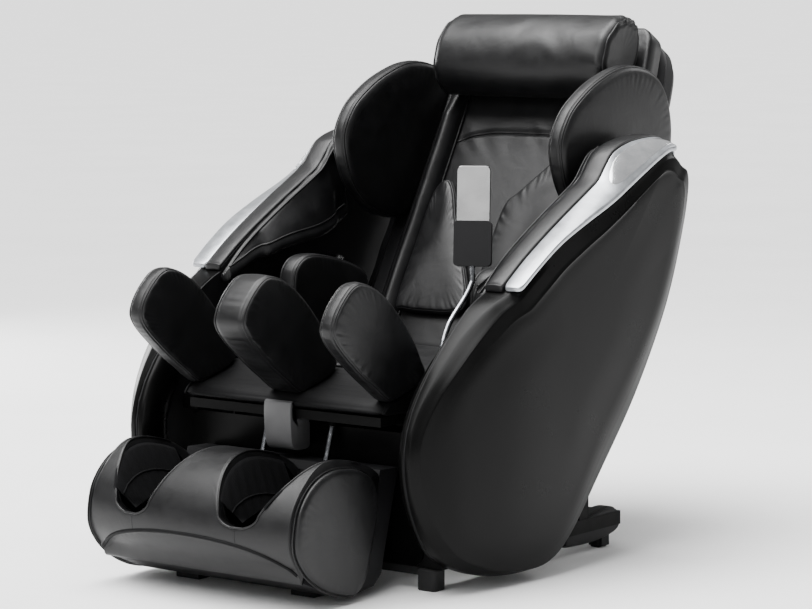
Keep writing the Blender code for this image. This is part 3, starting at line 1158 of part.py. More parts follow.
def remote_control(bodies, plastic, chrome, gloss, key):
    """Bent stalk in its socket, the holder on top, and the remote with its keys."""
    path = STALK + [remote_place(0, v, 0) for v in (-0.064, -0.036, -0.008)]
    piece("remote_stalk", swept_rod(smooth_curve(path, 2), STALK_RADIUS), chrome, bodies["base"], 60)
    back = REMOTE_THICKNESS / 4
    front = back - REMOTE_THICKNESS
    half = REMOTE_WIDTH / 2
    outer = half + POCKET_WALL
    block = remote_box(-outer, outer, HOLDER_LOW, HOLDER_HIGH, front - POCKET_WALL, back + 0.007, 0.008)
    pocket = remote_box(-half, half, 0.0, HOLDER_HIGH + 0.01, front, back)
    window = remote_box(POCKET_WALL - half, half - POCKET_WALL, 0.016, HOLDER_HIGH + 0.01, front - 0.010,
                        front + 0.002)
    bore = rod(remote_place(0, HOLDER_LOW - 0.010, 0), remote_place(0, -0.006, 0),
               STALK_RADIUS + PIN_CLEARANCE, 16)
    holder = combine(block, [pocket, window, bore], "DIFFERENCE")
    piece("remote_holder", holder, plastic, bodies["holder"])
    body = prism(rounded_rectangle(-half + GAP, half - GAP, GAP, REMOTE_HEIGHT, 0.010, 3), front + GAP,
                 back - GAP, place=remote_place, chamfer=0.002)
    face = front + GAP
    wells = [prism(circle(u, v, radius + 0.0005, 16), face - 0.003, face + 0.005, place=remote_place)
             for _, u, v, radius in KEYS]
    piece("remote", combine(body, wells, "DIFFERENCE"), gloss, bodies["remote"])
    for name, u, v, radius in KEYS:
        cap = prism(circle(u, v, radius, 16), face - 0.0015, face + 0.005 - KEY_TRAVEL - 0.0006,
                    place=remote_place, chamfer=0.0005)
        piece("remote_" + name, cap, key, bodies[name])


# ---------------------------------------------------------------- assembly
def lever_axis(pivot_z, length, swing_degrees):
    """Height of the drive's axis: the middle of the arc that the lever's tip runs through."""
    return pivot_z - length * (1 + math.cos(math.radians(swing_degrees / 2))) / 2


def make_bodies():
    chair = joint("chair", (0, 0, 0))
    recline = joint("recline_axis", (0, RECLINE_Y, RECLINE_Z), chair)
    legrest = joint("legrest_axis", (0, LEG_PIVOT_Y, LEG_PIVOT_Z), chair)
    carriage = joint("carriage_slide", back_place(0, SHAFT_S, SCREW_N), recline)
    roller_s = SHAFT_S + ROLLER_REACH
    holder = joint("holder_axis", STALK_HEAD, chair)
    remote = joint("remote_slide", STALK_HEAD, holder)
    foot = joint("foot_slide", leg_place(0, 0, 0), legrest)
    bodies = {
        "base": chair, "backrest": recline, "legrest": legrest, "foot": foot, "carriage": carriage,
        "screw": joint("screw_axis", back_place(0, 0.3, SCREW_N), recline),
        "kneader": joint("kneader_axis", back_place(0, SHAFT_S, SHAFT_N), carriage),
        "holder": holder, "remote": remote,
        "sole_roller": joint("sole_roller_axis", (0, SOLE_ROLLER_Y, SOLE_ROLLER_Z), foot),
        "recline_ram": joint("recline_ram_slide", (RECLINE_ACTUATOR_X, 0, RECLINE_DRIVE_Z), chair),
        "legrest_ram": joint("legrest_ram_slide", (LEG_ACTUATOR_X, 0, LEG_DRIVE_Z), chair),
        "switch": joint("switch_axis", (0.191, FRAME_REAR_Y - 0.010, FLOOR_RAIL_Z + RAIL_HEIGHT + 0.0283),
                        chair),
    }
    for name in ("left", "right"):
        arm = joint("massage_arm_axis_" + name, back_place(0, SHAFT_S, SHAFT_N), carriage)
        bodies["arm_" + name] = arm
        bodies["roller_" + name] = joint("massage_roller_axis_" + name,
                                         back_place(0, roller_s, SHAFT_N), arm)
    for name in ("power_key", "up_key", "down_key"):
        bodies[name] = joint(name + "_slide", STALK_HEAD, remote)
    return bodies


RECLINE_DRIVE_Z = lever_axis(RECLINE_Z, RECLINE_LEVER, RECLINE_RANGE)
LEG_DRIVE_Z = lever_axis(LEG_PIVOT_Z, LEG_LEVER, LEG_RANGE)


def centre_chair(chair):
    """Moves the whole chair so that its footprint is centred and it stands on Z = 0."""
    bpy.context.view_layer.update()
    corners = [item.matrix_world @ vertex.co for item in bpy.data.objects if item.type == "MESH"
               for vertex in item.data.vertices]
    middle_x = (min(c.x for c in corners) + max(c.x for c in corners)) / 2
    middle_y = (min(c.y for c in corners) + max(c.y for c in corners)) / 2
    chair.location = (-middle_x, -middle_y, -min(c.z for c in corners))
    return chair.location


def build():
    clear_scene()
    leather = material("black_leather", "1b1b1d", 0.42)
    fabric = material("black_fabric", "0e0e10", 0.9)
    shell = material("satin_black_plastic", "232325", 0.45)
    dark = material("matte_black_plastic", "17171a", 0.6)
    grey = material("grey_plastic", "5c5c60", 0.4)
    gloss = material("gloss_black_plastic", "101012", 0.2)
    silver = material("silver_trim", "c9cacd", 0.35, 0.4)
    chrome = material("chrome", "d8d8d8", 0.12, 1.0)
    steel = material("black_steel", "2c2c2e", 0.5, 0.6)
    rubber = material("black_rubber", "121212", 0.85)
    bodies = make_bodies()
    base, back = bodies["base"], bodies["backrest"]
    base_frame(base, steel)
    feet(bodies, dark, rubber)
    under_seat(bodies, dark, shell, gloss)
    side_panels(base, shell)
    side_liners(base, dark)
    armrest_trims(base, silver)
    arm_pads(base, leather)
    thigh_pads(base, leather)
    seat_cushion(base, leather)
    back_frame(back, steel)
    back_shell(back, dark)
    back_pad(back, leather)
    lumbar_flaps(back, leather)
    wings(back, leather)
    pillow(back, leather)
    massage_gear(bodies, steel, dark, rubber)
    swing = math.sin(math.radians(RECLINE_RANGE / 2))
    actuator("recline", RECLINE_ACTUATOR_X, CROSS_BARS[0] + 0.020, RECLINE_DRIVE_Z,
             RECLINE_Y + RECLINE_LEVER * swing, -2 * RECLINE_LEVER * swing, bodies, dark, steel)
    swing = math.sin(math.radians(LEG_RANGE / 2))
    actuator("legrest", LEG_ACTUATOR_X, CROSS_BARS[1] + 0.013, LEG_DRIVE_Z, LEG_PIVOT_Y + LEG_LEVER * swing,
             2 * LEG_LEVER * swing, bodies, dark, steel)
    calf_unit(bodies, leather, steel, grey, chrome)
    foot_unit(bodies, leather, fabric, dark, chrome)
    remote_control(bodies, dark, chrome, gloss, grey)
    centre_chair(base)


build()
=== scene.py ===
# %% [markdown]
# # A reclining massage chair in black leather
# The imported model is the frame: its bodies, joints and sizes are fixed. This lesson dresses it.
# Every shape is a surface worked out with numpy, in the chair's own coordinates, in metres:
# the sitter faces -Y, +X is the sitter's left, and the floor is z = 0.

# %% Load the frame
import math

import bmesh
import bpy
import numpy as np
from mathutils import Matrix, Vector


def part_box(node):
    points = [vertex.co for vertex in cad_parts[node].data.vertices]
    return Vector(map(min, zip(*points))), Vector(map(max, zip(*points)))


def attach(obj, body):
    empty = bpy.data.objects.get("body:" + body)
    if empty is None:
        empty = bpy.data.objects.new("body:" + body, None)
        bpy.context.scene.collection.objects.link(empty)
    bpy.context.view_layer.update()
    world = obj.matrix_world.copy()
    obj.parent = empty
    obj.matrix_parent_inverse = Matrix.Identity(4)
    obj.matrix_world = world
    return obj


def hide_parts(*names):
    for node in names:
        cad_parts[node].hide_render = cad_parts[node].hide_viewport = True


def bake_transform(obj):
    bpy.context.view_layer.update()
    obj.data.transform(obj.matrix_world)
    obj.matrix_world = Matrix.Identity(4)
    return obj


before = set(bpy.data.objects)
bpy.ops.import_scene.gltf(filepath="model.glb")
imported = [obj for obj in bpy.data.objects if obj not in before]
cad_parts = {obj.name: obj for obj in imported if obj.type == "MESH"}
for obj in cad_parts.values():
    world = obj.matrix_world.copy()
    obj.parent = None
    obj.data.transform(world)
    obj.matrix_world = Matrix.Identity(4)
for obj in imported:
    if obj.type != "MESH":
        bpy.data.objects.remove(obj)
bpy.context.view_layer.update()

TRIM_FRONT_Y = -0.182            # front end of the silver strips, in the chair's coordinates
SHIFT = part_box("armrest_trim_left")[0][1] - TRIM_FRONT_Y
print("nodes", len(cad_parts), "shift along Y", round(SHIFT, 4))

# %% [markdown]
# ## Camera
# A long lens from the front left of the sitter, a little above the armrests, gives the flat
# perspective of a catalogue view. Its place and angle were fitted to the photograph.

# %% Camera
CAMERA_PLACE = Vector((3.9177, -5.1415 + SHIFT, 1.2434))
CAMERA_RIGHT = Vector((0.7964, 0.6047, 0.0)).normalized()
CAMERA_BACK = Vector((0.6011, -0.7917, 0.1089)).normalized()
FOCAL_PIXELS, PHOTO_WIDTH = 3000.0, 812.0
camera = bpy.data.objects.new("camera", bpy.data.cameras.new("camera"))
bpy.context.scene.collection.objects.link(camera)
camera_up = CAMERA_BACK.cross(CAMERA_RIGHT)
turn = Matrix((CAMERA_RIGHT, camera_up, CAMERA_BACK)).transposed().to_4x4()
camera.matrix_world = Matrix.Translation(CAMERA_PLACE) @ turn
camera.data.lens = camera.data.sensor_width * FOCAL_PIXELS / PHOTO_WIDTH
camera.data.clip_end = 500.0     # metres, well past the chair
bpy.context.scene.camera = camera
print("camera", [round(c, 3) for c in CAMERA_PLACE], "lens", round(camera.data.lens, 1), "mm")

# %% [markdown]
# ## Colours and nodes
# Colours are written as the hex codes that a screen shows, and a renderer counts in linear
# light, so each is converted. One helper adds a shader node with its values and its links.

# %% Colours and nodes
def linear(srgb):
    """An sRGB hex colour as linear light: each channel is divided by 12.92 near black, and
    otherwise raised to the power 2.4."""
    channel = np.array([int(srgb[i:i + 2], 16) / 255 for i in (0, 2, 4)])
    low, high = channel / 12.92, ((channel + 0.055) / 1.055) ** 2.4
    return (*np.where(channel <= 0.04045, low, high), 1.0)


def add(tree, kind, settings=None, links=None):
    """Adds a node. Settings are its sockets or its own options by name, and links name the
    output that feeds a socket."""
    made = tree.nodes.new(kind)
    for key, value in (settings or {}).items():
        if isinstance(key, str) and key not in made.inputs:
            setattr(made, key, value)
        else:
            made.inputs[key].default_value = value
    for key, source in (links or {}).items():
        tree.links.new(source, made.inputs[key])
    return made


print("middle grey in linear light:", round(linear("808080")[0], 3))

# %% [markdown]
# ## Light
# Black leather shows only what it mirrors, so the light is a few large soft sources: one
# overhead for the tops of the pads, one in front for their faces, and weaker ones for the rims.
# A sun as wide as an overcast sky fills the rest, and keeps the shadow on the floor pale.

# %% Light
def area_light(name, place, target, size, power):
    """A rectangular softbox, turned so that it faces its target. Sizes in metres, power in watts."""
    lamp = bpy.data.lights.new(name, "AREA")
    lamp.shape, lamp.size, lamp.size_y, lamp.energy = "RECTANGLE", size[0], size[1], power
    item = bpy.data.objects.new(name, lamp)
    item.location = place
    item.rotation_euler = (Vector(target) - Vector(place)).to_track_quat("-Z", "Y").to_euler()
    bpy.context.scene.collection.objects.link(item)


area_light("overhead_softbox", (-0.4, 0.3, 3.4), (0, 0, 0.6), (2.4, 1.8), 125)
area_light("front_softbox", (-0.3, -4.4, 3.0), (0, 0, 0.7), (1.8, 1.2), 60)
area_light("left_softbox", (-4.2, 0.9, 1.2), (0, 0, 0.4), (2.4, 1.8), 130)
area_light("rim_softbox", (2.2, -4.4, 1.5), (0.2, -0.4, 0.4), (0.35, 1.8), 26)
area_light("back_softbox", (1.2, 4.0, 3.0), (0, 0, 0.7), (2.4, 1.2), 36)
sun = bpy.data.objects.new("sky_light", bpy.data.lights.new("sky_light", "SUN"))
sun.data.energy, sun.data.angle = 6.5, math.radians(50)
sun.rotation_euler = (math.radians(18), math.radians(-14), 0)
bpy.context.scene.collection.objects.link(sun)
world = bpy.data.worlds.new("studio")
world.use_nodes = True
world.node_tree.nodes["Background"].inputs["Color"].default_value = linear("ffffff")
world.node_tree.nodes["Background"].inputs["Strength"].default_value = 0.34
bpy.context.scene.world = world

# %% [markdown]
# ## Curves
# Every outline is a smooth curve through a few points measured on the chair, the way a pattern
# cutter lays a spline through marks. Its normals say which way is out, and noise made of sines
# gives the small folds that no sewn cover is without.

# %% Curves
def spline(points, count, closed=False):
    """Catmull-Rom curve: in each span a cubic whose end slopes are half the chord between the
    neighbours. The count points lie evenly along it."""
    p = np.asarray(points, float)
    q = np.vstack([p[-1:], p, p[:2]]) if closed else np.vstack([2 * p[0] - p[1], p, 2 * p[-1] - p[-2]])
    t = np.linspace(0, 1, 24, endpoint=False)[:, None, None]
    a, b, c, d = q[:-3], q[1:-2], q[2:-1], q[3:]
    fine = 0.5 * (2 * b + (c - a) * t + (2 * a - 5 * b + 4 * c - d) * t ** 2
                  + (3 * b - a - 3 * c + d) * t ** 3)
    fine = fine.transpose(1, 0, 2).reshape(-1, p.shape[1])
    fine = np.vstack([fine, p[0] if closed else p[-1]])
    length = np.r_[0, np.cumsum(np.linalg.norm(np.diff(fine, axis=0), axis=1))]
    where = np.linspace(0, length[-1], count, endpoint=not closed)
    return np.column_stack([np.interp(where, length, fine[:, k]) for k in range(p.shape[1])])


def curve_height(points, y, count=400):
    """Height of the smooth curve through (y, z) points, read off at any y."""
    fine = spline(points, count)
    return np.interp(y, fine[:, 0], fine[:, 1])


def smooth_step(t):
    """From 0 to 1 with level ends: three times t squared less twice t cubed."""
    t = np.clip(t, 0, 1)
    return t * t * (3 - 2 * t)


def counter_clockwise(outline):
    """The outline in the direction that makes its area, by the shoelace sum, positive."""
    following = np.roll(outline, -1, axis=0)
    area = np.sum(outline[:, 0] * following[:, 1] - following[:, 0] * outline[:, 1])
    return outline if area > 0 else outline[::-1]


def unit(vectors):
    """Each row scaled to length one."""
    return vectors / np.maximum(np.linalg.norm(vectors, axis=1, keepdims=True), 1e-9)


def about_middle(ring, share):
    """The ring scaled by share about the mean of its points."""
    middle = ring.mean(axis=0)
    return middle + (ring - middle) * share


def outward(outline):
    """Unit normals of a closed outline: its chord from the point before to the point after,
    turned a quarter to the right."""
    chord = np.roll(outline, -1, axis=0) - np.roll(outline, 1, axis=0)
    return unit(np.column_stack([chord[:, 1], -chord[:, 0]]))


def ripple(t, waves, seed):
    """Smooth noise of about unit height: a sum of eight sines of t, 0 to 1, whose wave counts
    and phases are drawn from a seeded generator. It closes on itself."""
    draw = np.random.default_rng(seed)
    total = np.zeros_like(t, dtype=float)
    for _ in range(8):
        count = int(draw.integers(max(2, waves // 2), waves * 2))
        total = total + np.sin(2 * np.pi * (count * t + draw.random())) * draw.uniform(0.4, 1.0)
    return total / 3.0


print("points on a test curve:", len(spline([(0, 0), (1, 0), (1, 1), (0, 1)], 40, closed=True)))

# %% [markdown]
# ## Surfaces
# A loft joins a row of rings to one skin, as a boat's planks join its frames. A tube is a loft of
# circles along a path. The chair is nearly symmetrical, so the right side is a mirror image.

# %% Surfaces
def cells(rows, columns, wrap):
    """Corner numbers of a grid's cells, closed round its columns if wrap."""
    r = np.arange(rows - 1)[:, None]
    c = np.arange(columns if wrap else columns - 1)[None, :]
    d = (c + 1) % columns
    return np.stack([r * columns + c, r * columns + d, (r + 1) * columns + d, (r + 1) * columns + c],
                    axis=-1).reshape(-1, 4)


def loft(rings, capped=True):
    """A skin over rings of equally many points, each end closed by a fan round its middle."""
    rings = np.asarray(rings, float)
    rows, columns = rings.shape[:2]
    points, faces = rings.reshape(-1, 3), [cells(rows, columns, True)]
    if capped:
        c = np.arange(columns)
        d = (c + 1) % columns
        base = (rows - 1) * columns
        faces.append(np.column_stack([np.full(columns, len(points)), d, c]))
        faces.append(np.column_stack([np.full(columns, len(points) + 1), base + c, base + d]))
        points = np.vstack([points, rings[[0, -1]].mean(axis=1)])
    return points, faces


def tube(path, radius, up=(1.0, 0.0, 0.0), sides=8, closed=False):
    """A round cord along a path: circles in the plane of up and the path's side direction."""
    path = np.asarray(path, float)
    ahead = np.roll(path, -1, axis=0) - np.roll(path, 1, axis=0)
    if not closed:
        ahead[0], ahead[-1] = path[1] - path[0], path[-1] - path[-2]
    ahead = unit(ahead)
    across = unit(np.cross(ahead, np.asarray(up, float)))
    other = np.cross(across, ahead)
    angle = np.linspace(0, 2 * np.pi, sides, endpoint=False)
    ring = np.cos(angle)[None, :, None] * across[:, None] + np.sin(angle)[None, :, None] * other[:, None]
    rings = path[:, None] + np.broadcast_to(np.asarray(radius, float), len(path))[:, None, None] * ring
    if closed:
        return loft(np.concatenate([rings, rings[:1]]), capped=False)
    return loft(rings)


def mirrored(parts):
    """The same parts on the sitter's other side: x changes sign and each face is turned back."""
    return [(points * (-1, 1, 1), [f[:, ::-1] for f in faces]) for points, faces in parts]


def upright(x, outline):
    """Points of a side-view outline (y, z) at one x."""
    return np.column_stack([np.broadcast_to(x, len(outline)), outline])


def across_place(u, v, h):
    """A side-view pad: u is y, v is z, and the pad's thickness runs along x."""
    return np.column_stack([h, u, v])


print("a tube of two rings:", len(tube([(0, 0, 0), (0, 1, 0)], 0.01)[0]), "points")

# %% [markdown]
# ## Sewn pads
# A sewn pad has a face, a gusset round its edge, and piping where the two meet. The face rises
# from the seam, steeply at first, and the leather puckers a little along the stitching.

# %% Sewn pads
PIPING = 0.0026                  # radius of the covered cord in the seams


def pad(outline, low, high, place, crown=0.004, pipes=(True, True), pucker=0.0006, waves=34, seed=1,
        count=160, corner=0.008, gusset=0.0012, drop=0.006):
    """A sewn pad between the heights low and high over an outline. Rings: the face shrinks to
    its middle and rises by crown times one minus the cube of its share of the way out, then
    the rim turns over a quarter circle, and the gusset bulges by a sine."""
    outline = counter_clockwise(spline(outline, count, closed=True))
    normal, centre = outward(outline), outline.mean(axis=0)
    fold = ripple(np.arange(count) / count, waves, seed) * pucker

    def ring(depth, height):
        return np.column_stack([outline - normal * np.broadcast_to(depth, count)[:, None],
                                np.full(count, height)])

    sides, seams = [], []
    for side, edge, wanted in ((1, high, pipes[1]), (-1, low, pipes[0])):
        face, half = outline - normal * corner, []
        for share in np.r_[0.02, np.linspace(0.12, 1.0, 17)]:
            lift = crown * (1 - share ** 3) + fold * share ** 10 * 1.6
            half.append(np.column_stack([centre + (face - centre) * share, edge + side * lift]))
        for turn in np.radians((60, 30, 0)):
            half.append(ring(corner - (corner - 0.003) * math.cos(turn),
                             edge - side * drop * (1 - math.sin(turn))))
        half.append(ring(0.005, edge - side * (drop + 0.0015)))
        sides.append(half)
        if wanted:
            seams.append(ring(0.0035, edge - side * drop))
    gusset_rings = [ring(-(gusset + fold) * math.sin(math.pi * t),
                         (high - drop - 0.003) * (1 - t) + (low + drop + 0.003) * t)
                    for t in np.linspace(0.04, 0.96, 9)]
    parts = [loft([place(*r.T) for r in sides[0] + gusset_rings + sides[1][::-1]])]
    for seam in seams:
        path = place(*seam.T)
        ahead = place(*(seam + (0, 0, 0.01)).T) - path
        parts.append(tube(path, PIPING, up=ahead[0], closed=True))
    return parts


def moulded(outline, low, high, place, crown, corner, drop, count=160):
    """A moulded block with rounded edges: a pad without piping, puckers or bulge."""
    return pad(outline, low, high, place, crown, pipes=(False, False), pucker=0.0, count=count,
               corner=corner, gusset=0.0, drop=drop)


print("piping", PIPING * 2000, "mm across")

# %% [markdown]
# ## Pieces
# Each piece is one object that rides on a body of the frame, so it moves with the joints. It
# takes the finish it is given, and hides the plain solid that it stands for.

# %% Pieces
def piece(name, parts, finish, body, slot, stands_for=(), angle=None):
    """One object from parts, moved to the frame's place, riding on its body."""
    start, points, faces = 0, [], []
    for part_points, part_faces in parts:
        points.append(part_points)
        faces += [tuple(row) for group in part_faces for row in (group + start).tolist()]
        start += len(part_points)
    mesh = bpy.data.meshes.new(name)
    mesh.from_pydata((np.vstack(points) + (0, SHIFT, 0)).tolist(), [], faces)
    work = bmesh.new()
    work.from_mesh(mesh)
    bmesh.ops.recalc_face_normals(work, faces=work.faces)
    work.to_mesh(mesh)
    work.free()
    mesh.shade_smooth()
    if angle:
        mesh.set_sharp_from_angle(angle=math.radians(angle))
    return dress(bpy.data.objects.new(name, mesh), finish, body, stands_for)


def dress(item, finish, body, stands_for=()):
    """Gives an object its material and body, and hides the solids that it stands for."""
    if item.name not in bpy.context.scene.collection.objects:
        bpy.context.scene.collection.objects.link(item)
    item.data.materials.clear()
    item.data.materials.append(finish)
    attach(item, body)
    if stands_for:
        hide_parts(*stands_for)
    return item


def cushion(name, parts, body, stands_for=(), fill=0.7, finish=None, slot="black_leather"):
    """A padded piece. Its fill, a share from 0, slack, to 1, tight, is not used."""
    item = piece(name, parts, finish or LEATHER, body, slot, stands_for)
    return item


def both_sides(make, name, parts, *rest, stands_for=(), **options):
    """The left piece, and the right one as its mirror image."""
    for side, group in (("left", parts), ("right", mirrored(parts))):
        make(f"{name}_{side}", group, *rest, stands_for=[f"{node}_{side}" for node in stands_for],
             **options)


CLOTH_THICKNESS = 0.0012         # of the knit fabric


def cloth(rows, away):
    """A thin sheet: each row of points, and the same row moved by away on the way back."""
    return [loft([np.vstack([row, (row + away)[::-1]]) for row in rows])]


def fabric_sheet(name, parts, body, flat, held, rests_on, stands_for=()):
    """A piece of the knit fabric. The size it was cut to and how it is held are not used."""
    item = piece(name, parts, FABRIC, body, "black_fabric", stands_for)
    return item


# %% [markdown]
# ## The recipe of a finish
# The chair is nearly all black, so the finishes differ in how they mirror the light: coated
# leather has a fine pebble and a soft sheen, moulded ABS a smoother one, knit fabric almost none.
# One recipe serves all: slow patches of shade and roughness, a grain, a weave and creases.

# %% The recipe of a finish
def finish(name, dark, light, rough, patch_mm=60.0, metallic=0.0, coat=0.0, grain_mm=0.0, grain=0.0,
           crease_mm=0.0, crease=0.0, weave_mm=0.0, gleam=0.5):
    """A coated surface. Slow noise mixes two near shades and two roughnesses, cell noise gives
    the pebble of leather or moulded plastic, and stretched noise gives its creases."""
    made = bpy.data.materials.new(name)
    made.use_nodes = True
    tree = made.node_tree
    shader = tree.nodes["Principled BSDF"]
    place = add(tree, "ShaderNodeTexCoord").outputs["Object"]
    patches = add(tree, "ShaderNodeTexNoise", {"Scale": 1000 / patch_mm, "Detail": 5.0, "Roughness": 0.6},
                  {"Vector": place})
    shades = add(tree, "ShaderNodeValToRGB", {}, {"Fac": patches.outputs["Fac"]})
    shades.color_ramp.elements[0].position, shades.color_ramp.elements[1].position = 0.35, 0.65
    shades.color_ramp.elements[0].color = linear(dark)
    shades.color_ramp.elements[1].color = linear(light)
    tree.links.new(shades.outputs["Color"], shader.inputs["Base Color"])
    gloss = add(tree, "ShaderNodeMapRange", {"From Min": 0.3, "From Max": 0.7, "To Min": rough - 0.05,
                                             "To Max": rough + 0.06}, {"Value": patches.outputs["Fac"]})
    tree.links.new(gloss.outputs["Result"], shader.inputs["Roughness"])
    shader.inputs["Metallic"].default_value = metallic
    shader.inputs["IOR"].default_value = 1.5
    shader.inputs["Specular IOR Level"].default_value = gleam
    shader.inputs["Coat Weight"].default_value = coat
    shader.inputs["Coat Roughness"].default_value = 0.12
    normal = None

    def bumped(height, strength, distance):
        links = {"Height": height, **({"Normal": normal} if normal else {})}
        values = {"Strength": strength, "Distance": distance}
        return add(tree, "ShaderNodeBump", values, links).outputs["Normal"]

    if grain_mm:
        pebble = add(tree, "ShaderNodeTexVoronoi", {"Scale": 1000 / grain_mm}, {"Vector": place})
        normal = bumped(pebble.outputs["Distance"], grain, 0.0003)
    if weave_mm:
        threads = add(tree, "ShaderNodeTexWave", {"Scale": 1000 / weave_mm / 6.283, "Distortion": 1.0,
                                                  "bands_direction": "DIAGONAL"}, {"Vector": place})
        normal = bumped(threads.outputs["Fac"], 0.5, 0.0006)
    if crease_mm:
        soft = add(tree, "ShaderNodeTexNoise", {"Scale": 1000 / crease_mm, "Detail": 3.0,
                                                "Distortion": 0.8}, {"Vector": place})
        normal = bumped(soft.outputs["Fac"], crease, 0.004)
    if normal:
        tree.links.new(normal, shader.inputs["Normal"])
    return made


print("the recipe takes shades, roughness, patches, grain, creases and weave")

# %% [markdown]
# ## The chair's finishes
# Each name says the material and how its surface was made. The shades are close together and the
# patches are a few centimetres wide, as a hide or a moulding varies from one place to the next.

# %% The chair's finishes
# Coated split leather: deep black, a soft sheen broken by the pebble, slack between the seams.
LEATHER = finish("coated_leather", "0a0a0b", "111112", 0.40, 45, grain_mm=1.3, grain=0.30,
                 crease_mm=42, crease=0.16, gleam=0.30)
# The same hide, rougher and duller; its darker shades are painted shade, for the shadow between the calf
# fins and under the foot unit's front seam.
MATT_LEATHER_SHADED = finish("matt_leather_painted_shade", "050506", "09090a", 0.62, 45, grain_mm=1.3, grain=0.35,
                      crease_mm=42, crease=0.16, gleam=0.12)
# Knit fabric inside the foot wells and between the pads: it swallows the light.
FABRIC = finish("knit_fabric", "050506", "0a0a0c", 0.90, 30, weave_mm=1.6, gleam=0.15)
# Moulded ABS with a spark-eroded satin skin, as on the side shells.
SATIN = finish("satin_moulded_abs", "050505", "080808", 0.30, 160, grain_mm=0.8, grain=0.06, gleam=0.085)
# Moulded ABS of the hidden covers, coarser and duller.
MATTE = finish("matte_moulded_abs", "08080a", "0e0e10", 0.60, 70, grain_mm=0.9, grain=0.25, gleam=0.25)
# Grey ABS of the slide cover.
GREY = finish("grey_moulded_abs", "4a4a4b", "565657", 0.42, 80, grain_mm=0.8, grain=0.12)
# Polished black plastic of the handset.
GLOSS = finish("polished_black_abs", "08090b", "0d0e10", 0.12, 90, coat=0.6)
# Silver paint on ABS: fine metal flakes under a clear lacquer.
SILVER = finish("silver_lacquered_abs", "a3a6aa", "b6b9bd", 0.34, 25, metallic=0.75, coat=0.3)
BRIGHT = finish("polished_silver_inlay", "d6d8da", "e6e7e9", 0.20, 40, metallic=0.85, coat=0.5)
# Ground and chromed steel of the slide rods.
CHROME = finish("chromed_steel", "7e8084", "94969a", 0.16, 12, metallic=1.0)
# Powder-coated steel tube, with the orange peel of its coat.
STEEL = finish("powder_coated_steel", "040404", "080808", 0.62, 35, grain_mm=1.6, grain=0.3, gleam=0.12)
RUBBER = finish("moulded_rubber", "080809", "0e0e0f", 0.80, 25, grain_mm=0.7, grain=0.3)
FINISHES = {"black_leather": LEATHER, "black_fabric": FABRIC, "satin_black_plastic": SATIN,
            "matte_black_plastic": MATTE, "grey_plastic": GREY, "gloss_black_plastic": GLOSS,
            "silver_trim": SILVER, "chrome": CHROME, "black_steel": STEEL, "black_rubber": RUBBER}
FLOOR = finish("pale_studio_floor", "f6f6f6", "fafafa", 0.80, 900, gleam=0.2)
print("finishes", len(FINISHES))

# %% [markdown]
# ## The frame's own solids and the floor
# A solid whose shape is right stays as it is, and takes the finish that its slot names. The floor
# is a plain pale sheet, so wide that its edge lies at the horizon from every side.

# %% The frame's own solids and the floor
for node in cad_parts.values():
    kept = node.data.materials[0].name.split(".")[0]
    node.data.materials[0] = FINISHES[kept]
FLOOR_HALF = 400
floor_mesh = bpy.data.meshes.new("studio_floor")
floor_corners = [(x * FLOOR_HALF, y * FLOOR_HALF, 0) for x, y in ((-1, -1), (1, -1), (1, 1), (-1, 1))]
floor_mesh.from_pydata(floor_corners, [], [(0, 1, 2, 3)])
floor = bpy.data.objects.new("studio_floor", floor_mesh)
floor_mesh.materials.append(FLOOR)
bpy.context.scene.collection.objects.link(floor)
print("solids kept in view take", len({node.data.materials[0].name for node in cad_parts.values()}),
      "finishes")

# %% [markdown]
# ## The side shell's outline
# Each armrest wears a moulded egg of ABS, made in one shot in a two-part mould. Its top edge
# follows the silver strip, and the rest is one curve through points read off the photograph.
# Seen from above the shell toes in to the front, and the bulge says by how much.

# %% The side shell's outline
HALF_WIDTH, SHELL_INNER_X, LINER_X, TRIM_WIDTH, TRIM_HEIGHT = 0.460, 0.3603, 0.356, 0.053, 0.0117
TRIM_REAR_Y = 0.430
PANEL_BULGE = [(-0.450, 0.29), (-0.400, 0.48), (-0.330, 0.66), (-0.182, 0.87), (0.0, 0.95),
               (0.200, 0.99), (0.350, 1.00), (0.460, 1.00)]
TRIM_OUTER = [(-0.182, 0.614), (-0.116, 0.660), (-0.045, 0.702), (0.040, 0.738), (0.134, 0.773),
              (0.203, 0.803), (0.267, 0.834), (0.328, 0.863), (0.366, 0.876), (0.403, 0.873),
              (0.433, 0.850), (0.450, 0.815)]
TRIM_INNER = [(-0.182, 0.6145), (-0.116, 0.661), (-0.045, 0.704), (0.040, 0.751), (0.115, 0.790),
              (0.158, 0.815), (0.186, 0.845), (0.212, 0.869), (0.262, 0.887), (0.326, 0.896),
              (0.381, 0.896), (0.418, 0.882), (0.450, 0.840)]
PANEL_LOWER = [(-0.245, 0.572), (-0.330, 0.502), (-0.405, 0.424), (-0.451, 0.345), (-0.460, 0.262),
               (-0.432, 0.165), (-0.370, 0.078), (-0.266, 0.030), (-0.150, 0.012), (-0.062, 0.020),
               (0.012, 0.066), (0.113, 0.174), (0.256, 0.338), (0.377, 0.522), (0.442, 0.680),
               (0.464, 0.780), (0.456, 0.828)]
SHELL_CENTRE = np.array((0.000, 0.430))


def panel_x(y):
    """The shell's outer face at y: its inner plane and a share of the full bulge."""
    return SHELL_INNER_X + (HALF_WIDTH - SHELL_INNER_X) * np.clip(curve_height(PANEL_BULGE, y), 0, 1)


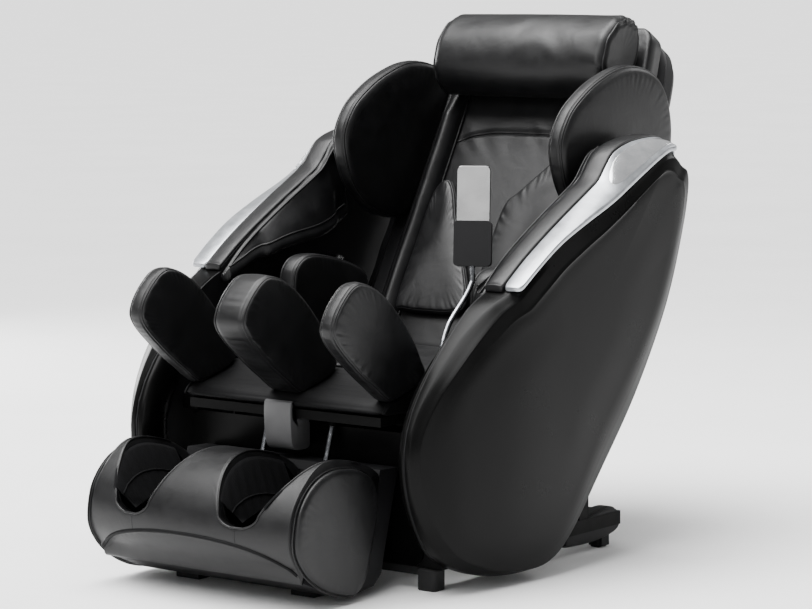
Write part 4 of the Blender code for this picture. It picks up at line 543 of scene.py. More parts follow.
def egg_outline():
    """The shell's outline, its normals, and how much of each point belongs to the top edge."""
    y = np.linspace(TRIM_FRONT_Y, TRIM_REAR_Y, 100)
    upper = np.column_stack([y, curve_height(TRIM_OUTER, y) - TRIM_HEIGHT - 0.0003])
    lower = spline([upper[0], *PANEL_LOWER, upper[-1]], 200)[1:-1]
    outline = np.vstack([upper[::-1], lower])
    on_top = np.tile(np.r_[np.ones(len(upper)), np.zeros(len(lower))], 3)
    top = np.convolve(on_top, np.ones(31) / 31, "same")[len(outline):2 * len(outline)]
    kept = counter_clockwise(outline)
    return kept, outward(kept), top if kept is outline else top[::-1]


print("points round the shell", len(egg_outline()[0]))

# %% [markdown]
# ## Side shells
# From the outline the skin turns in and swells: fast within the first 17 mm, which makes the rim
# and its soft crease, then slowly over the face. Under the silver strip it starts nearly full.
# The wall is 4 mm thick, as an injection moulding of this size needs.

# %% Side shells
SHELL_WALL = 0.004


def side_shell():
    """Rings drawn in from the egg's outline. Each depth has a share of the full bulge, one
    profile for the rim and one for the edge under the strip, joined smoothly between."""
    kept, normal, top = egg_outline()
    depths = np.array((0.0, 0.0012, 0.004, 0.008, 0.012, 0.0145, 0.016, 0.0175, 0.021, 0.030, 0.040,
                       0.046, 0.048, 0.050, 0.052, 0.054, 0.062, 0.080))
    rim = np.interp(depths, (0, 0.0012, 0.004, 0.012, 0.0145, 0.016, 0.0175, 0.046, 0.062, 0.080),
                    (0.34, 0.41, 0.52, 0.76, 0.83, 0.862, 0.868, 0.930, 0.956, 0.971))
    edge = np.interp(depths, (0, 0.0012, 0.046, 0.050, 0.054, 0.080),
                     (0.915, 0.925, 0.984, 1.002, 0.992, 1.0))

    def rings(wall):
        def bulged(ring, share):
            x = SHELL_INNER_X + (panel_x(ring[:, 0]) - SHELL_INNER_X) * share - wall
            return np.column_stack([x, ring])

        made = [np.column_stack([np.full(len(kept), SHELL_INNER_X), kept - normal * wall])]
        for depth, rim_share, edge_share in zip(depths, rim, edge):
            ring = kept - normal * (min(depth, 0.010) + wall)
            reach = np.linalg.norm(ring - SHELL_CENTRE, axis=1, keepdims=True)
            ring = SHELL_CENTRE + (ring - SHELL_CENTRE) * (1 - max(depth - 0.010, 0) / reach)
            share = rim_share + (edge_share - rim_share) * top
            made.append(bulged(ring, share))
        for k in np.r_[np.linspace(0.94, 0.1, 14), 0.02]:
            made.append(bulged(SHELL_CENTRE + (ring - SHELL_CENTRE) * k,
                               share + (1 - share) * smooth_step((1 - k) * 1.6)))
        return made

    return [loft(rings(SHELL_WALL)[::-1] + rings(0.0))]


both_sides(piece, "side_shell", side_shell(), SATIN, "base", "satin_black_plastic",
           stands_for=["side_panel"], angle=32)

# %% [markdown]
# ## Front edge of the armrests
# On the inside of each shell the armrest's front edge rolls over to the seat: a half round of
# the same plastic, thickest in front of the hand and running out to nothing at its two ends.

# %% Front edge of the armrests
def rim_roll():
    """The armrest's thick front edge, inside the wall: a half round 26 mm high whose foot runs
    85 mm back from the outline, fading out at both ends."""
    kept, normal, _ = egg_outline()
    start = int(np.argmin(np.hypot(kept[:, 0] + 0.222, kept[:, 1] - 0.562)))
    end = int(np.argmin(np.hypot(kept[:, 0] + 0.150, kept[:, 1] - 0.012)))
    step = 1 if (end - start) % len(kept) < (start - end) % len(kept) else -1
    chosen = [(start + step * k) % len(kept) for k in range((step * (end - start)) % len(kept) + 1)]
    points, inward = kept[chosen], -normal[chosen]
    along = np.linspace(0, 1, len(chosen))
    size = 0.02 + 0.98 * smooth_step(along / 0.30) * smooth_step((1 - along) / 0.25)
    rings = []
    for turn in np.linspace(0, math.pi, 25):
        depth = 0.0015 + size * 0.085 * (1 - math.cos(turn)) / 2
        x = LINER_X - 0.0003 - size * 0.026 * math.sin(turn) ** 0.75
        rings.append(np.column_stack([x, points + inward * depth[:, None]]))
    return [loft(np.stack(rings, axis=1))]


both_sides(piece, "rim_roll", rim_roll(), SATIN, "base", "satin_black_plastic")

# %% [markdown]
# ## Rear feet
# The rear feet are cast brackets that reach out behind the shells, so that the chair can't tip
# when it reclines. Each has a small block under its end. They are blocks with round edges.

# %% Rear feet
REAR_FOOT = [(0.120, 0.022), (0.170, 0.018), (0.220, 0.017), (0.270, 0.020), (0.308, 0.027),
             (0.328, 0.037), (0.3335, 0.052), (0.331, 0.068), (0.321, 0.081), (0.302, 0.0870),
             (0.275, 0.0880), (0.235, 0.083), (0.180, 0.072), (0.120, 0.060), (0.117, 0.041)]
FOOT_BLOCK = [(0.262, 0.001), (0.279, 0.0006), (0.296, 0.001), (0.297, 0.014), (0.295, 0.030),
              (0.279, 0.032), (0.263, 0.030), (0.261, 0.014)]
both_sides(piece, "rear_foot_casting",
           moulded(REAR_FOOT, 0.3120, 0.3545, across_place, 0.0, corner=0.006, drop=0.006)
           + moulded(FOOT_BLOCK, 0.3160, 0.3505, across_place, 0.0, corner=0.004, drop=0.004),
           MATTE, "base", "matte_black_plastic", stands_for=["rear_foot"])

# %% [markdown]
# ## Silver strips
# A lacquered moulding clips onto the shell's upper edge. It lies flat in front and tilts
# outwards over the rear hump. Its section is a box with soft corners, narrowing to the rear.

# %% Silver strips
def strip_edges(y):
    """Inner and outer edge of the strip. The outer edge draws in over the last 5 cm."""
    outer = panel_x(y)
    inner = outer - TRIM_WIDTH * (outer - LINER_X) / (HALF_WIDTH - LINER_X)
    width = 0.94 - 0.62 * smooth_step((y - 0.382) / 0.050)
    start = np.column_stack([inner, y, curve_height(TRIM_INNER, y)])
    end = np.column_stack([outer, y, curve_height(TRIM_OUTER, y)])
    return start, start + (end - start) * width[:, None]


def silver_strip():
    """A section of four corners, each rounded by 3 mm, carried along the armrest."""
    y = TRIM_FRONT_Y + (TRIM_REAR_Y - TRIM_FRONT_Y) * np.linspace(0, 1, 150) ** 1.3
    inner, outer = strip_edges(y)
    nose = 0.16 * np.exp(-(y - TRIM_FRONT_Y) / 0.004)[:, None]
    inner, outer = inner + (outer - inner) * nose, outer - (outer - inner) * nose
    low = outer[:, 2] - TRIM_HEIGHT * (1 - nose[:, 0] * 2)
    corners = [np.column_stack([inner[:, 0], y, low]), np.column_stack([outer[:, 0], y, low]), outer, inner]
    section = []
    for k, corner in enumerate(corners):
        before, after = unit(corners[k - 1] - corner), unit(corners[(k + 1) % 4] - corner)
        section += [corner + before * 0.003, corner + (before + after) * 0.0009, corner + after * 0.003]
    return [loft(np.stack(section, axis=1))]


both_sides(piece, "silver_strip", silver_strip(), SILVER, "base", "silver_trim",
           stands_for=["armrest_trim"], angle=35)

# %% [markdown]
# ## Inlays
# A brighter, polished plate is let into each strip over the hump. It is glued in on the real
# chair and stands a millimetre proud, so its edge catches a thin line of light.

# %% Inlays
def strip_inlay():
    """A lens-ended plate 1 mm proud of the strip, from the foot of the hump to its rear."""
    y = np.linspace(0.168, 0.404, 90)
    inner, outer = strip_edges(y)
    across = outer - inner
    normal = unit(np.column_stack([-across[:, 2], np.zeros(len(y)), across[:, 0]]))
    t = np.linspace(0, 1, len(y))
    half = 0.34 * np.clip(1 - np.abs(2 * t - 1) ** 6, 0, 1) ** 0.5 + 0.004
    middle, rings = (inner + outer) / 2, []
    for share, lift in ((-1.0, -0.002), (-1.0, 0.0004), (-0.94, 0.0009), (0.0, 0.0012), (0.94, 0.0009),
                        (1.0, 0.0004), (1.0, -0.002)):
        rings.append(middle + across * (share * half)[:, None] + normal * lift)
    return [loft(np.stack(rings, axis=1))]


both_sides(piece, "strip_inlay", strip_inlay(), BRIGHT, "base", "silver_trim", angle=35)

# %% [markdown]
# ## Armrest bands
# Between the forearm pad and the silver strip runs a narrow band of padded leather. It is a
# strip with a low crown, stapled under the strip and folded down over the liner's front end.

# %% Armrest bands
def arm_band():
    """Leather over the liner's top edge, between arm pad and strip: a crowned section along
    the arm, folded down over the liner's front end."""
    rear = np.linspace(TRIM_FRONT_Y, TRIM_REAR_Y - 0.012, 110)
    y = np.r_[TRIM_FRONT_Y - np.array((0.0045, 0.004, 0.0028, 0.0008)), rear]
    at = np.maximum(y, TRIM_FRONT_Y)
    inner = np.full_like(y, LINER_X + 0.0004)
    outer = strip_edges(at)[0][:, 0] - 0.0006
    top = curve_height(TRIM_INNER, at) - 0.0012
    low = np.where(y < TRIM_FRONT_Y, curve_height(TRIM_OUTER, at) - TRIM_HEIGHT, top - 0.0002)
    shrink = np.r_[0.4, 0.75, 0.93, 1.0, np.ones(len(rear))]
    section = []
    for share, lift in ((0.0, 0.0), (0.01, 0.0022), (0.12, 0.0042), (0.30, 0.0054), (0.5, 0.0058),
                        (0.70, 0.0054), (0.88, 0.0042), (0.99, 0.0022), (1.0, 0.0)):
        section.append(np.column_stack([inner + (outer - inner) * share, y, top + lift]))
    section += [np.column_stack([outer, y, low]), np.column_stack([(inner + outer) / 2, y, low]),
                np.column_stack([inner, y, low])]
    rings = np.stack(section, axis=1)
    middle = rings.mean(axis=1, keepdims=True)
    rings = middle + (rings - middle) * np.where(np.arange(3) == 1, 1.0, shrink[:, None])[:, None, :]
    return [loft(rings)]


both_sides(cushion, "arm_band_cover", arm_band(), "base", fill=0.8)

# %% [markdown]
# ## Upper arm pads
# The forearm lies on a long pad whose lip overhangs a slot, where the air cells close on the
# hand. The cover is pulled over foam, tight on the wall side and puckered along the lip. Its
# sections change along the arm, so it is a loft and not a flat-cut pad.

# %% Upper arm pads
LIP = [(-0.190, 0.590), (-0.133, 0.612), (-0.090, 0.630), (-0.004, 0.654), (0.094, 0.668),
       (0.175, 0.687), (0.240, 0.712)]
LIP_X = [(-0.200, 0.328), (-0.085, 0.327), (-0.050, 0.308), (0.100, 0.304), (0.170, 0.315),
         (0.200, 0.3285), (0.260, 0.3285)]
ARM_WALL_X = 0.3557


def arm_section(y):
    """Section of the upper pad at y: from the wall under the lip, round it and up to the seam."""
    t = (y + 0.185) / 0.420
    lip, lip_x = curve_height(LIP, y), curve_height(LIP_X, y)
    top = lip + (curve_height(TRIM_INNER, y) - 0.004 - lip) * (1 - 0.75 * np.exp(-14 * t))
    wall = np.full_like(y, ARM_WALL_X)
    corners = [(wall, lip - 0.011), (lip_x + 0.012, lip - 0.013), (lip_x + 0.001, lip - 0.006),
               (lip_x, lip + 0.004), (lip_x + 0.006, lip + 0.016),
               (lip_x + 0.30 * (wall - lip_x), lip + 0.42 * (top - lip) + 0.005),
               (lip_x + 0.62 * (wall - lip_x), lip + 0.76 * (top - lip) + 0.005),
               (wall - 0.012, top - 0.003), (wall - 0.005, top), (wall, top - 0.006)]
    return np.stack([np.column_stack([x, y, z]) for x, z in corners], axis=1)


def upper_arm_pad():
    """Sections along the arm, each smoothed, with puckers near the lip and drawn-in ends."""
    y = np.linspace(-0.183, 0.233, 90)
    rings = np.stack([spline(ring, 48, closed=True) for ring in arm_section(y)])
    along = np.linspace(0, 1, len(y))
    pucker = ripple(along, 30, 5)[:, None] * np.exp(-((np.arange(48) - 16) / 5.0) ** 2)[None, :]
    rings[:, :, 2] += 0.0010 * pucker
    ends = ((0.55, 0.0), (0.85, 0.0015), (0.96, 0.004))
    front = [about_middle(rings[0], share) + (0, step - 0.004, 0) for share, step in ends]
    rear = [about_middle(rings[-1], share) + (0, 0.004 - step, 0) for share, step in ends]
    parts = [loft(front + list(rings) + rear[::-1])]
    seam = arm_section(np.linspace(-0.178, 0.230, 120))
    parts.append(tube(seam[:, 7] + (0.0, 0, 0.0012), PIPING))
    parts.append(tube(seam[:, 4] + (0.0005, 0, 0.0010), PIPING * 0.9))
    return parts


both_sides(cushion, "arm_pad_upper_cushion", upper_arm_pad(), "base", stands_for=["arm_pad_upper"])

# %% [markdown]
# ## Lower arm pads
# Under the slot stands a second air pad that presses the hand from below. It is cut flat to the
# slot's curve and sewn with a covered cord on the seat side.

# %% Lower arm pads
def lower_arm_pad():
    """The pad's top edge runs 92 mm under the lip, its foot is straight."""
    y = np.linspace(-0.090, 0.190, 8)
    top = np.column_stack([y, curve_height(LIP, y) - 0.092])
    outline = [(-0.080, 0.392), (0.040, 0.392), (0.160, 0.392), *top[::-1]]
    return pad(outline, 0.3005, 0.3550, across_place, 0.003, pipes=(True, False), seed=7)


both_sides(cushion, "arm_pad_lower_cushion", lower_arm_pad(), "base", stands_for=["arm_pad_lower"])

# %% [markdown]
# ## Hip pads
# An upright air pad on each side holds the hips. Seen from the side it is a rounded sail that
# leans back, with piping on both faces.

# %% Hip pads
THIGH_PAD = [(-0.074, 0.580), (-0.060, 0.612), (-0.030, 0.629), (0.014, 0.630), (0.080, 0.618),
             (0.140, 0.600), (0.185, 0.575), (0.190, 0.530), (0.160, 0.470), (0.126, 0.400),
             (0.110, 0.362), (0.096, 0.353), (0.020, 0.353), (-0.055, 0.353), (-0.072, 0.372),
             (-0.076, 0.490)]
both_sides(cushion, "thigh_pad_cushion", pad(THIGH_PAD, 0.2355, 0.2845, across_place, 0.004, seed=11),
           "base", stands_for=["thigh_pad"])

# %% [markdown]
# ## Seat cushion
# A thick foam block in a sewn cover, crowned by a centimetre. The sitter's weight has left it
# slightly hollow, and slack leather lies in folds along both sides.

# %% Seat cushion
SEAT_HALF_WIDTH, SEAT_FRONT_Y, SEAT_REAR_Y, SEAT_LOW, SEAT_HIGH = 0.228, -0.180, 0.195, 0.3525, 0.424


def box_outline(u0, u1, v0, v1, radius, steps=7):
    """A rectangle with rounded corners, as a closed row of points."""
    points = []
    for cu, cv, start in ((u1 - radius, v1 - radius, 0), (u0 + radius, v1 - radius, 90),
                          (u0 + radius, v0 + radius, 180), (u1 - radius, v0 + radius, 270)):
        angle = np.radians(np.linspace(start, start + 90, steps))
        points += [(cu + radius * math.cos(a), cv + radius * math.sin(a)) for a in angle]
    ring = np.array(points + points[:1])
    length = np.r_[0, np.cumsum(np.linalg.norm(np.diff(ring, axis=0), axis=1))]
    where = np.linspace(0, length[-1], int(length[-1] / radius * 1.6), endpoint=False)
    return np.column_stack([np.interp(where, length, ring[:, k]) for k in (0, 1)])


def seat_place(u, v, h):
    """The seat pad's face is slightly hollow where the sitter rests, with folds to its sides."""
    up = smooth_step((h - SEAT_LOW) / (SEAT_HIGH - SEAT_LOW))
    hollow = -0.006 * np.exp(-(u / 0.13) ** 2 - ((v - 0.03) / 0.12) ** 2)
    folds = 0.0016 * np.sin(u * 62 + 3 * np.sin(v * 21)) * np.exp(-((np.abs(u) - 0.19) / 0.04) ** 2)
    return np.column_stack([u, v, h + up * (hollow + folds)])


seat_outline = box_outline(-SEAT_HALF_WIDTH, SEAT_HALF_WIDTH, SEAT_FRONT_Y, SEAT_REAR_Y, 0.05)
cushion("seat_cushion_cover", pad(seat_outline, SEAT_LOW, SEAT_HIGH, seat_place, 0.010, seed=13,
                                  pipes=(False, True), corner=0.018, count=260),
        "base", stands_for=["seat_cushion"])

# %% [markdown]
# ## Back cushion
# The back cushion hangs on the frame as one sewn cover: a crowned middle, a round roll on each
# side and a curved seam below the shoulders. One height over the plane of the back describes
# all of it, so the seams stay where the leather dips.

# %% Back cushion
BACK_FOOT_Y, BACK_FOOT_Z, LEAN_Y, LEAN_Z = 0.229, 0.433, 0.4924, 0.8704      # 29.5 degrees back
BACK_LOW, BACK_LENGTH, BACK_HALF_WIDTH, BACK_TOP_HALF_WIDTH = -0.030, 0.800, 0.270, 0.243
ROLL_INNER_X, ROLL_OUTER_X, ROLL_HEIGHT, SEAM_S = 0.200, 0.255, 0.030, 0.520
OUT_OF_BACK = (0, -0.87, 0.49)


def back_place(x, s, n):
    """From along the backrest (s up it, n out of its face) to the chair's coordinates."""
    return np.column_stack([x, BACK_FOOT_Y + LEAN_Y * s - LEAN_Z * n,
                            BACK_FOOT_Z + LEAN_Z * s + LEAN_Y * n])


def half_width_at(s):
    """Straight up to the shoulders, then narrower, and rounded at the top corners."""
    taper = BACK_HALF_WIDTH - (BACK_HALF_WIDTH - BACK_TOP_HALF_WIDTH) * np.clip((s - 0.62) / 0.18, 0, 1)
    short = np.clip((s - (BACK_LENGTH - 0.035)) / 0.035, 0, 1)
    return taper - 0.035 * (1 - np.sqrt(1 - short ** 2))


def seam_s(x):
    """How far up the back the shoulder seam runs: level in the middle, lower at the rolls."""
    return SEAM_S - 0.03 * (x / ROLL_INNER_X) ** 4


def back_height(x, s):
    """Crown, rolls and grooves, the shoulder seam, and shallow folds running out of the seam."""
    a = np.abs(x)
    edge = np.minimum.reduce([(half_width_at(s) - a) / 0.013, (s - BACK_LOW) / 0.013,
                              (BACK_LENGTH - s) / 0.013, np.ones_like(a)])
    edge = np.clip(edge, 0, 1)
    fade = np.clip((0.65 - s) / 0.10, 0, 1) * np.clip((s + 0.02) / 0.06, 0, 1)
    crown = 0.0035 * np.clip(1 - (a / ROLL_INNER_X) ** 2, 0, 1)
    t = np.clip((a - ROLL_INNER_X) / (ROLL_OUTER_X - ROLL_INNER_X), 0, 1)
    roll = (ROLL_HEIGHT * np.sin(np.pi * t) ** 0.8
            + 0.0005 * np.sin(s * 46 + 2 * np.sin(s * 17)) * np.sin(np.pi * t)) * fade
    groove = -0.007 * fade * (np.exp(-((a - ROLL_INNER_X) / 0.004) ** 2)
                              + np.exp(-((a - ROLL_OUTER_X) / 0.004) ** 2))
    off = s - seam_s(x)
    inside = np.clip((ROLL_INNER_X - a) / 0.01, 0, 1)
    seam = -0.005 * np.exp(-(off / 0.005) ** 2) * inside
    folds = 0.0005 * np.sin(a * 75 + 5 * np.sin(s * 23 + x * 9)) * np.exp(-(off / 0.05) ** 2) * inside
    return crown + roll + groove + seam + folds - 0.010 * (1 - np.sqrt(edge * (2 - edge)))


def back_cushion():
    """Rings up the back: each goes across the face and returns flat behind the cushion."""
    s = np.r_[BACK_LOW + np.array((0.0, 0.001, 0.003, 0.007, 0.012)),
              np.linspace(BACK_LOW + 0.02, BACK_LENGTH - 0.02, 150),
              BACK_LENGTH - np.array((0.012, 0.007, 0.003, 0.001, 0.0))]
    across = np.sin(np.linspace(-1, 1, 181) * np.pi / 2) * 0.35 + np.linspace(-1, 1, 181) * 0.65
    rings = []
    for height in s:
        x = across * half_width_at(np.array([height]))[0]
        rows = np.full_like(x, height)
        face = back_place(x, rows, back_height(x, rows))
        behind = x[::-20]
        back = back_place(behind, np.full(len(behind), height), np.full(len(behind), -0.0495))
        rings.append(np.vstack([face, back]))
    parts = [loft(rings)]
    x = np.linspace(-0.196, 0.196, 120)
    seams = [(x, seam_s(x), 0.0024)]
    s = np.linspace(0.02, 0.60, 120)
    seams += [(np.full_like(s, side * (ROLL_INNER_X + 0.001)), s, 0.0022) for side in (-1, 1)]
    for x, s, radius in seams:
        parts.append(tube(back_place(x, s, back_height(x, s) + 0.0018), radius, up=OUT_OF_BACK))
    return parts


cushion("back_cushion_cover", back_cushion(), "backrest", ["back_pad"])

# %% [markdown]
# ## Waist flaps
# Two flaps with air cells lie on the back cushion and push the waist. Each is sewn flat, hangs
# from its outer edge and gathers towards the middle. The right one hangs lower in the photo.

# %% Waist flaps
LEFT_FLAP = [(0.192, 0.060), (0.192, 0.400), (0.165, 0.448), (0.130, 0.452), (0.100, 0.435),
             (0.040, 0.365), (0.008, 0.310), (0.008, 0.080), (0.040, 0.055)]


def flap_place(u, v, h):
    """Long folds hang from the upper outer corner and fan out towards the middle."""
    up = smooth_step((h - 0.0045) / 0.022)
    angle = np.arctan2(0.43 - v, 0.20 - u)
    reach = np.hypot(0.43 - v, 0.20 - u)
    folds = 0.0016 * np.sin(angle * 11 + 2.5 * np.sin(reach * 14)) * np.clip(reach / 0.16, 0, 1)
    return back_place(u, v, h + up * folds * np.clip(1.2 - reach / 0.36, 0, 1))


RIGHT_FLAP = [(0.200, 0.070), (0.202, 0.200), (0.200, 0.310), (0.192, 0.366), (0.166, 0.384),
              (0.138, 0.352), (0.108, 0.286), (0.070, 0.215), (0.034, 0.150), (0.012, 0.095),
              (0.030, 0.060), (0.110, 0.054), (0.170, 0.056)]
for name, outline in (("left", LEFT_FLAP), ("right", RIGHT_FLAP)):
    parts = pad(outline, 0.0048, 0.0275, flap_place, 0.004, pipes=(False, True), seed=17, count=220)
    cushion(f"lumbar_flap_cushion_{name}", parts if name == "left" else mirrored(parts), "backrest",
            [f"lumbar_flap_{name}"])

# %% [markdown]
# ## Rear shell
# A moulded shell closes the backrest behind, deep enough for the massage gear. The photo doesn't
# show it, so it is plain: round edges, a shallow raised panel, and a flank under each wing.

# %% Rear shell
def shell_outline():
    """The rear shell's outline: the back's own width, drawn in at the top corners."""
    right = [(0.060, -0.022), (0.120, -0.022), (0.180, -0.022), (0.226, -0.017), (0.254, 0.002),
             (0.266, 0.034), (0.268, 0.090), (0.268, 0.200), (0.268, 0.420), (0.268, 0.600),
             (0.262, 0.690), (0.245, 0.760), (0.205, 0.800), (0.110, 0.812)]
    return right + [(-x, s) for x, s in right[::-1]]


def rear_shell():
    """Moulded shell behind the cushion, with deep round edges, a flank under each wing, and a
    shallow raised panel on its back."""
    body = moulded(shell_outline(), -0.1485, -0.0506, back_place, 0.002, corner=0.036, drop=0.030,
                   count=260)
    plate = moulded(box_outline(-0.150, 0.150, 0.140, 0.620, 0.060), -0.1535, -0.1300, back_place, 0.0008,
                    corner=0.006, drop=0.0025)
    flank = moulded(box_outline(0.034, 0.357, -0.124, -0.013, 0.025), 0.2600, 0.3215,
                    lambda u, v, h: back_place(h, u, v), 0.001, corner=0.016, drop=0.012)
    return body + plate + flank + mirrored(flank)


piece("rear_shell", rear_shell(), MATTE, "backrest", "matte_black_plastic", ["back_shell"], angle=50)

# %% [markdown]
# ## Side aprons
# A knit apron closes the gap between each flank of the backrest and the armrest's inner wall. It
# rides on the backrest, so it slides past the wall when the chair reclines. Only a dark gap shows
# there, so the apron is a guess: its dark cloth is painted shade for that gap.

# %% Side aprons
apron_s = np.linspace(0.045, 0.520, 60)
apron_wave = 0.0012 * np.sin(apron_s * 60)
apron_rows = [back_place(np.array((0.3218, 0.3340, 0.3470)), np.full(3, s),
                         np.array((-0.0400, -0.0410, -0.0400)) + wave)
              for s, wave in zip(apron_s, apron_wave)]
APRON_AWAY = CLOTH_THICKNESS * np.array((0, LEAN_Z, -LEAN_Y))       # its thickness, out of the back's rear
# Dark cloth across the gap: painted shade.
both_sides(fabric_sheet, "side_shade_apron", cloth(apron_rows, APRON_AWAY), "backrest", (0.0252, 0.475), "hung",
           ["rear_shell"])

# %% [markdown]
# ## Shoulder wings
# Thick padded discs at the shoulders press the upper arms. Each is a flat-cut pad with a round
# edge, piped on both faces and fixed to the backrest.

# %% Shoulder wings
WING = [(0.153, 0.880), (0.185, 0.945), (0.240, 0.988), (0.310, 1.022), (0.400, 1.046),
        (0.486, 1.040), (0.548, 1.010), (0.585, 0.955), (0.596, 0.880), (0.572, 0.790),
        (0.500, 0.722), (0.400, 0.690), (0.295, 0.698), (0.221, 0.741), (0.174, 0.800)]
wing = pad(WING, 0.2708, 0.3190, across_place, 0.005, seed=19, corner=0.022, waves=40, count=240,
           pucker=0.0003, drop=0.010)
both_sides(cushion, "wing_cushion", wing, "backrest", stands_for=["wing"])

# %% [markdown]
# ## Head pillow
# A loose roll filled with fibre, strapped over the top of the backrest. It is flat behind, droops
# on its face, and its two ends are gathered in to round caps.

# %% Head pillow
def head_pillow():
    """Sections round the pillow's length: a flat back, a belly low on the face, creases along
    it, and gathers that deepen towards the drawn-in ends."""
    share = np.linspace(-1, 1, 121)
    angle = np.linspace(0, 2 * np.pi, 96, endpoint=False)
    rings = []
    for x in share:
        e = abs(x)
        swell = (1 - max(0.0, (e - 0.90) / 0.10) ** 2.2 * 0.16) * (1.0 + 0.015 * math.cos(math.pi * x / 2))
        belly = 0.074 + 0.012 * (1 - np.cos(angle)) / 2
        forward = np.sin(angle)
        near_end = math.exp(-((1 - e) / 0.09)) if x > 0 else 0.5 * math.exp(-((1 - e) / 0.06))
        gathers = 0.0030 * near_end * np.sin(angle * 13 + 3 * math.sin(x * 3) + 2 * np.sin(angle * 2))
        creases = 0.0007 * np.sin(angle * 7 + 2.2 * np.sin(x * 4.0 + 1) + 1.3 * np.sin(x * 9))
        creases = creases * (forward > 0)
        sag = 0.0012 * np.sin(x * 5 + angle * 2)
        s = BACK_LENGTH - 0.114 + (0.100 * swell + gathers) * np.cos(angle)
        n = 0.062 + swell * forward * np.where(forward > 0, belly, 0.0555)
        n = n + (gathers + creases + sag) * np.clip(forward, 0, 1) * (1 - 0.5 * near_end)
        rings.append(back_place(np.full(96, x * 0.237), s, n))
    inner = [about_middle(rings[0], k) + (0.004 * (1 - k), 0, 0) for k in (0.15, 0.4, 0.65, 0.85)]
    outer = [about_middle(rings[-1], k) - (0.004 * (1 - k), 0, 0) for k in (0.85, 0.65, 0.4, 0.15)]
    parts = [loft(inner + rings + outer)]
    for k in (1, -2):
        parts.append(tube(about_middle(rings[k], 1.004), PIPING, up=(1, 0, 0), closed=True))
    return parts


cushion("head_pillow_cover", head_pillow(), "backrest", ["pillow"], fill=0.55)

# %% [markdown]
# ## Calf pad
# The calf pad is a low wedge of foam over the legrest's frame, where the calves slide in and out.
# Its leather is darker as painted shade, for the shadow between the fins. It carries the three fins.

# %% Calf pad
CALF_TOP = [(-0.404, 0.376), (-0.385, 0.388), (-0.340, 0.3985), (-0.300, 0.410), (-0.272, 0.426)]
CALF_OUTLINE = [(-0.404, 0.362), *CALF_TOP, (-0.262, 0.420), (-0.258, 0.400), (-0.260, 0.362),
                (-0.330, 0.359)]
# Darker, duller leather: painted shade between the fins.
cushion("calf_pad_cushion", pad(CALF_OUTLINE, -0.2700, 0.2700, across_place, 0.001, seed=23, corner=0.006),
        "legrest", ["calf_pad"], finish=MATT_LEATHER_SHADED)

# %% [markdown]
# ## Slide cover
# A grey moulding hides the slide between the legrest and the foot unit. It is one bent box whose
# front tilts with the rods, so its side view is carried across with its edges broken.

# %% Slide cover
def drawn_in(outline, depth):
    """The dense outline drawn in by a depth."""
    fine = counter_clockwise(spline(outline, 120, closed=True))
    return fine - outward(fine) * depth


def slide_cover():
    """A hollow moulding over the slide, its front tilted with the rods, its foot rounded."""
    outline = [(-0.4135, 0.371), (-0.4185, 0.371), (-0.4215, 0.366), (-0.4225, 0.340), (-0.4195, 0.300),
               (-0.4150, 0.281), (-0.4050, 0.271), (-0.385, 0.2685), (-0.360, 0.2720), (-0.357, 0.290),
               (-0.362, 0.334), (-0.400, 0.3355), (-0.4128, 0.3375)]
    return [loft([upright(x, drawn_in(outline, depth)) for x, depth in
                  ((-0.036, 0.003), (-0.0352, 0.001), (-0.033, 0.0), (0.0, 0.0), (0.033, 0.0),
                   (0.0352, 0.001), (0.036, 0.003))])]


piece("slide_cover_moulding", slide_cover(), GREY, "legrest", "grey_plastic", ["slide_cover"], angle=40)

# %% [markdown]
# ## Calf fins
# Three upright fins hold the calves between air cells, the middle one twice as wide as the outer
# ones. All are sewn to one pattern, rounded like a thumb and leaning forward.

# %% Calf fins
FIN_UPPER = [(-0.268, 0.440), (-0.283, 0.468), (-0.306, 0.506), (-0.344, 0.553), (-0.394, 0.600),
             (-0.436, 0.627), (-0.478, 0.641), (-0.510, 0.636), (-0.541, 0.613), (-0.567, 0.582),
             (-0.579, 0.550), (-0.565, 0.520), (-0.532, 0.488), (-0.480, 0.446), (-0.434, 0.414),
             (-0.412, 0.398)]
FIN_FOOT = [(-0.385, 0.3855), (-0.340, 0.3960), (-0.300, 0.4075), (-0.274, 0.4235)]
fin_outline = drawn_in(FIN_UPPER + FIN_FOOT, 0.0035)[::4]
for name, low, high in (("left", 0.2318, 0.2742), ("centre", -0.0432, 0.0432), ("right", -0.2742, -0.2318)):
    cushion(f"calf_fin_{name}_cushion", pad(fin_outline, low, high, across_place, 0.004, waves=30,
                                            seed=29 + len(name), count=220), "legrest",
            [f"calf_fin_{name}"])

# %% [markdown]
# ## The foot unit's shape
# The foot unit is foam over a moulded tray, under a leather cover. Two troughs take the feet:
# each has a round bottom whose walls flare upwards, more on the outside, and its floor rises
# towards the toes. The front bows out in the middle and has a seam like the lid of an eye.

# %% The foot unit's shape
BOLSTER_OUTER = [(-0.660, 0.0560), (-0.702, 0.093), (-0.724, 0.135), (-0.721, 0.185), (-0.700, 0.226),
                 (-0.665, 0.262), (-0.615, 0.286), (-0.560, 0.292), (-0.500, 0.282), (-0.452, 0.266),
                 (-0.418, 0.246)]
FOOT_END = [(-0.520, 0.012), (-0.575, 0.022), (-0.630, 0.047), (-0.676, 0.084), (-0.702, 0.130),
            (-0.696, 0.190), (-0.676, 0.228), (-0.643, 0.258), (-0.603, 0.274), (-0.560, 0.278),
            (-0.505, 0.270), (-0.460, 0.247), (-0.438, 0.210), (-0.440, 0.160), (-0.456, 0.105),
            (-0.474, 0.050), (-0.492, 0.024)]
FOOT_HALF_WIDTH = 0.258
TROUGH_X, BOTTOM_HALF, BOTTOM_RISE = 0.140, 0.048, 0.030
WALL_RISE, FLARE_OUT, FLARE_IN = 0.140, 0.069, 0.051


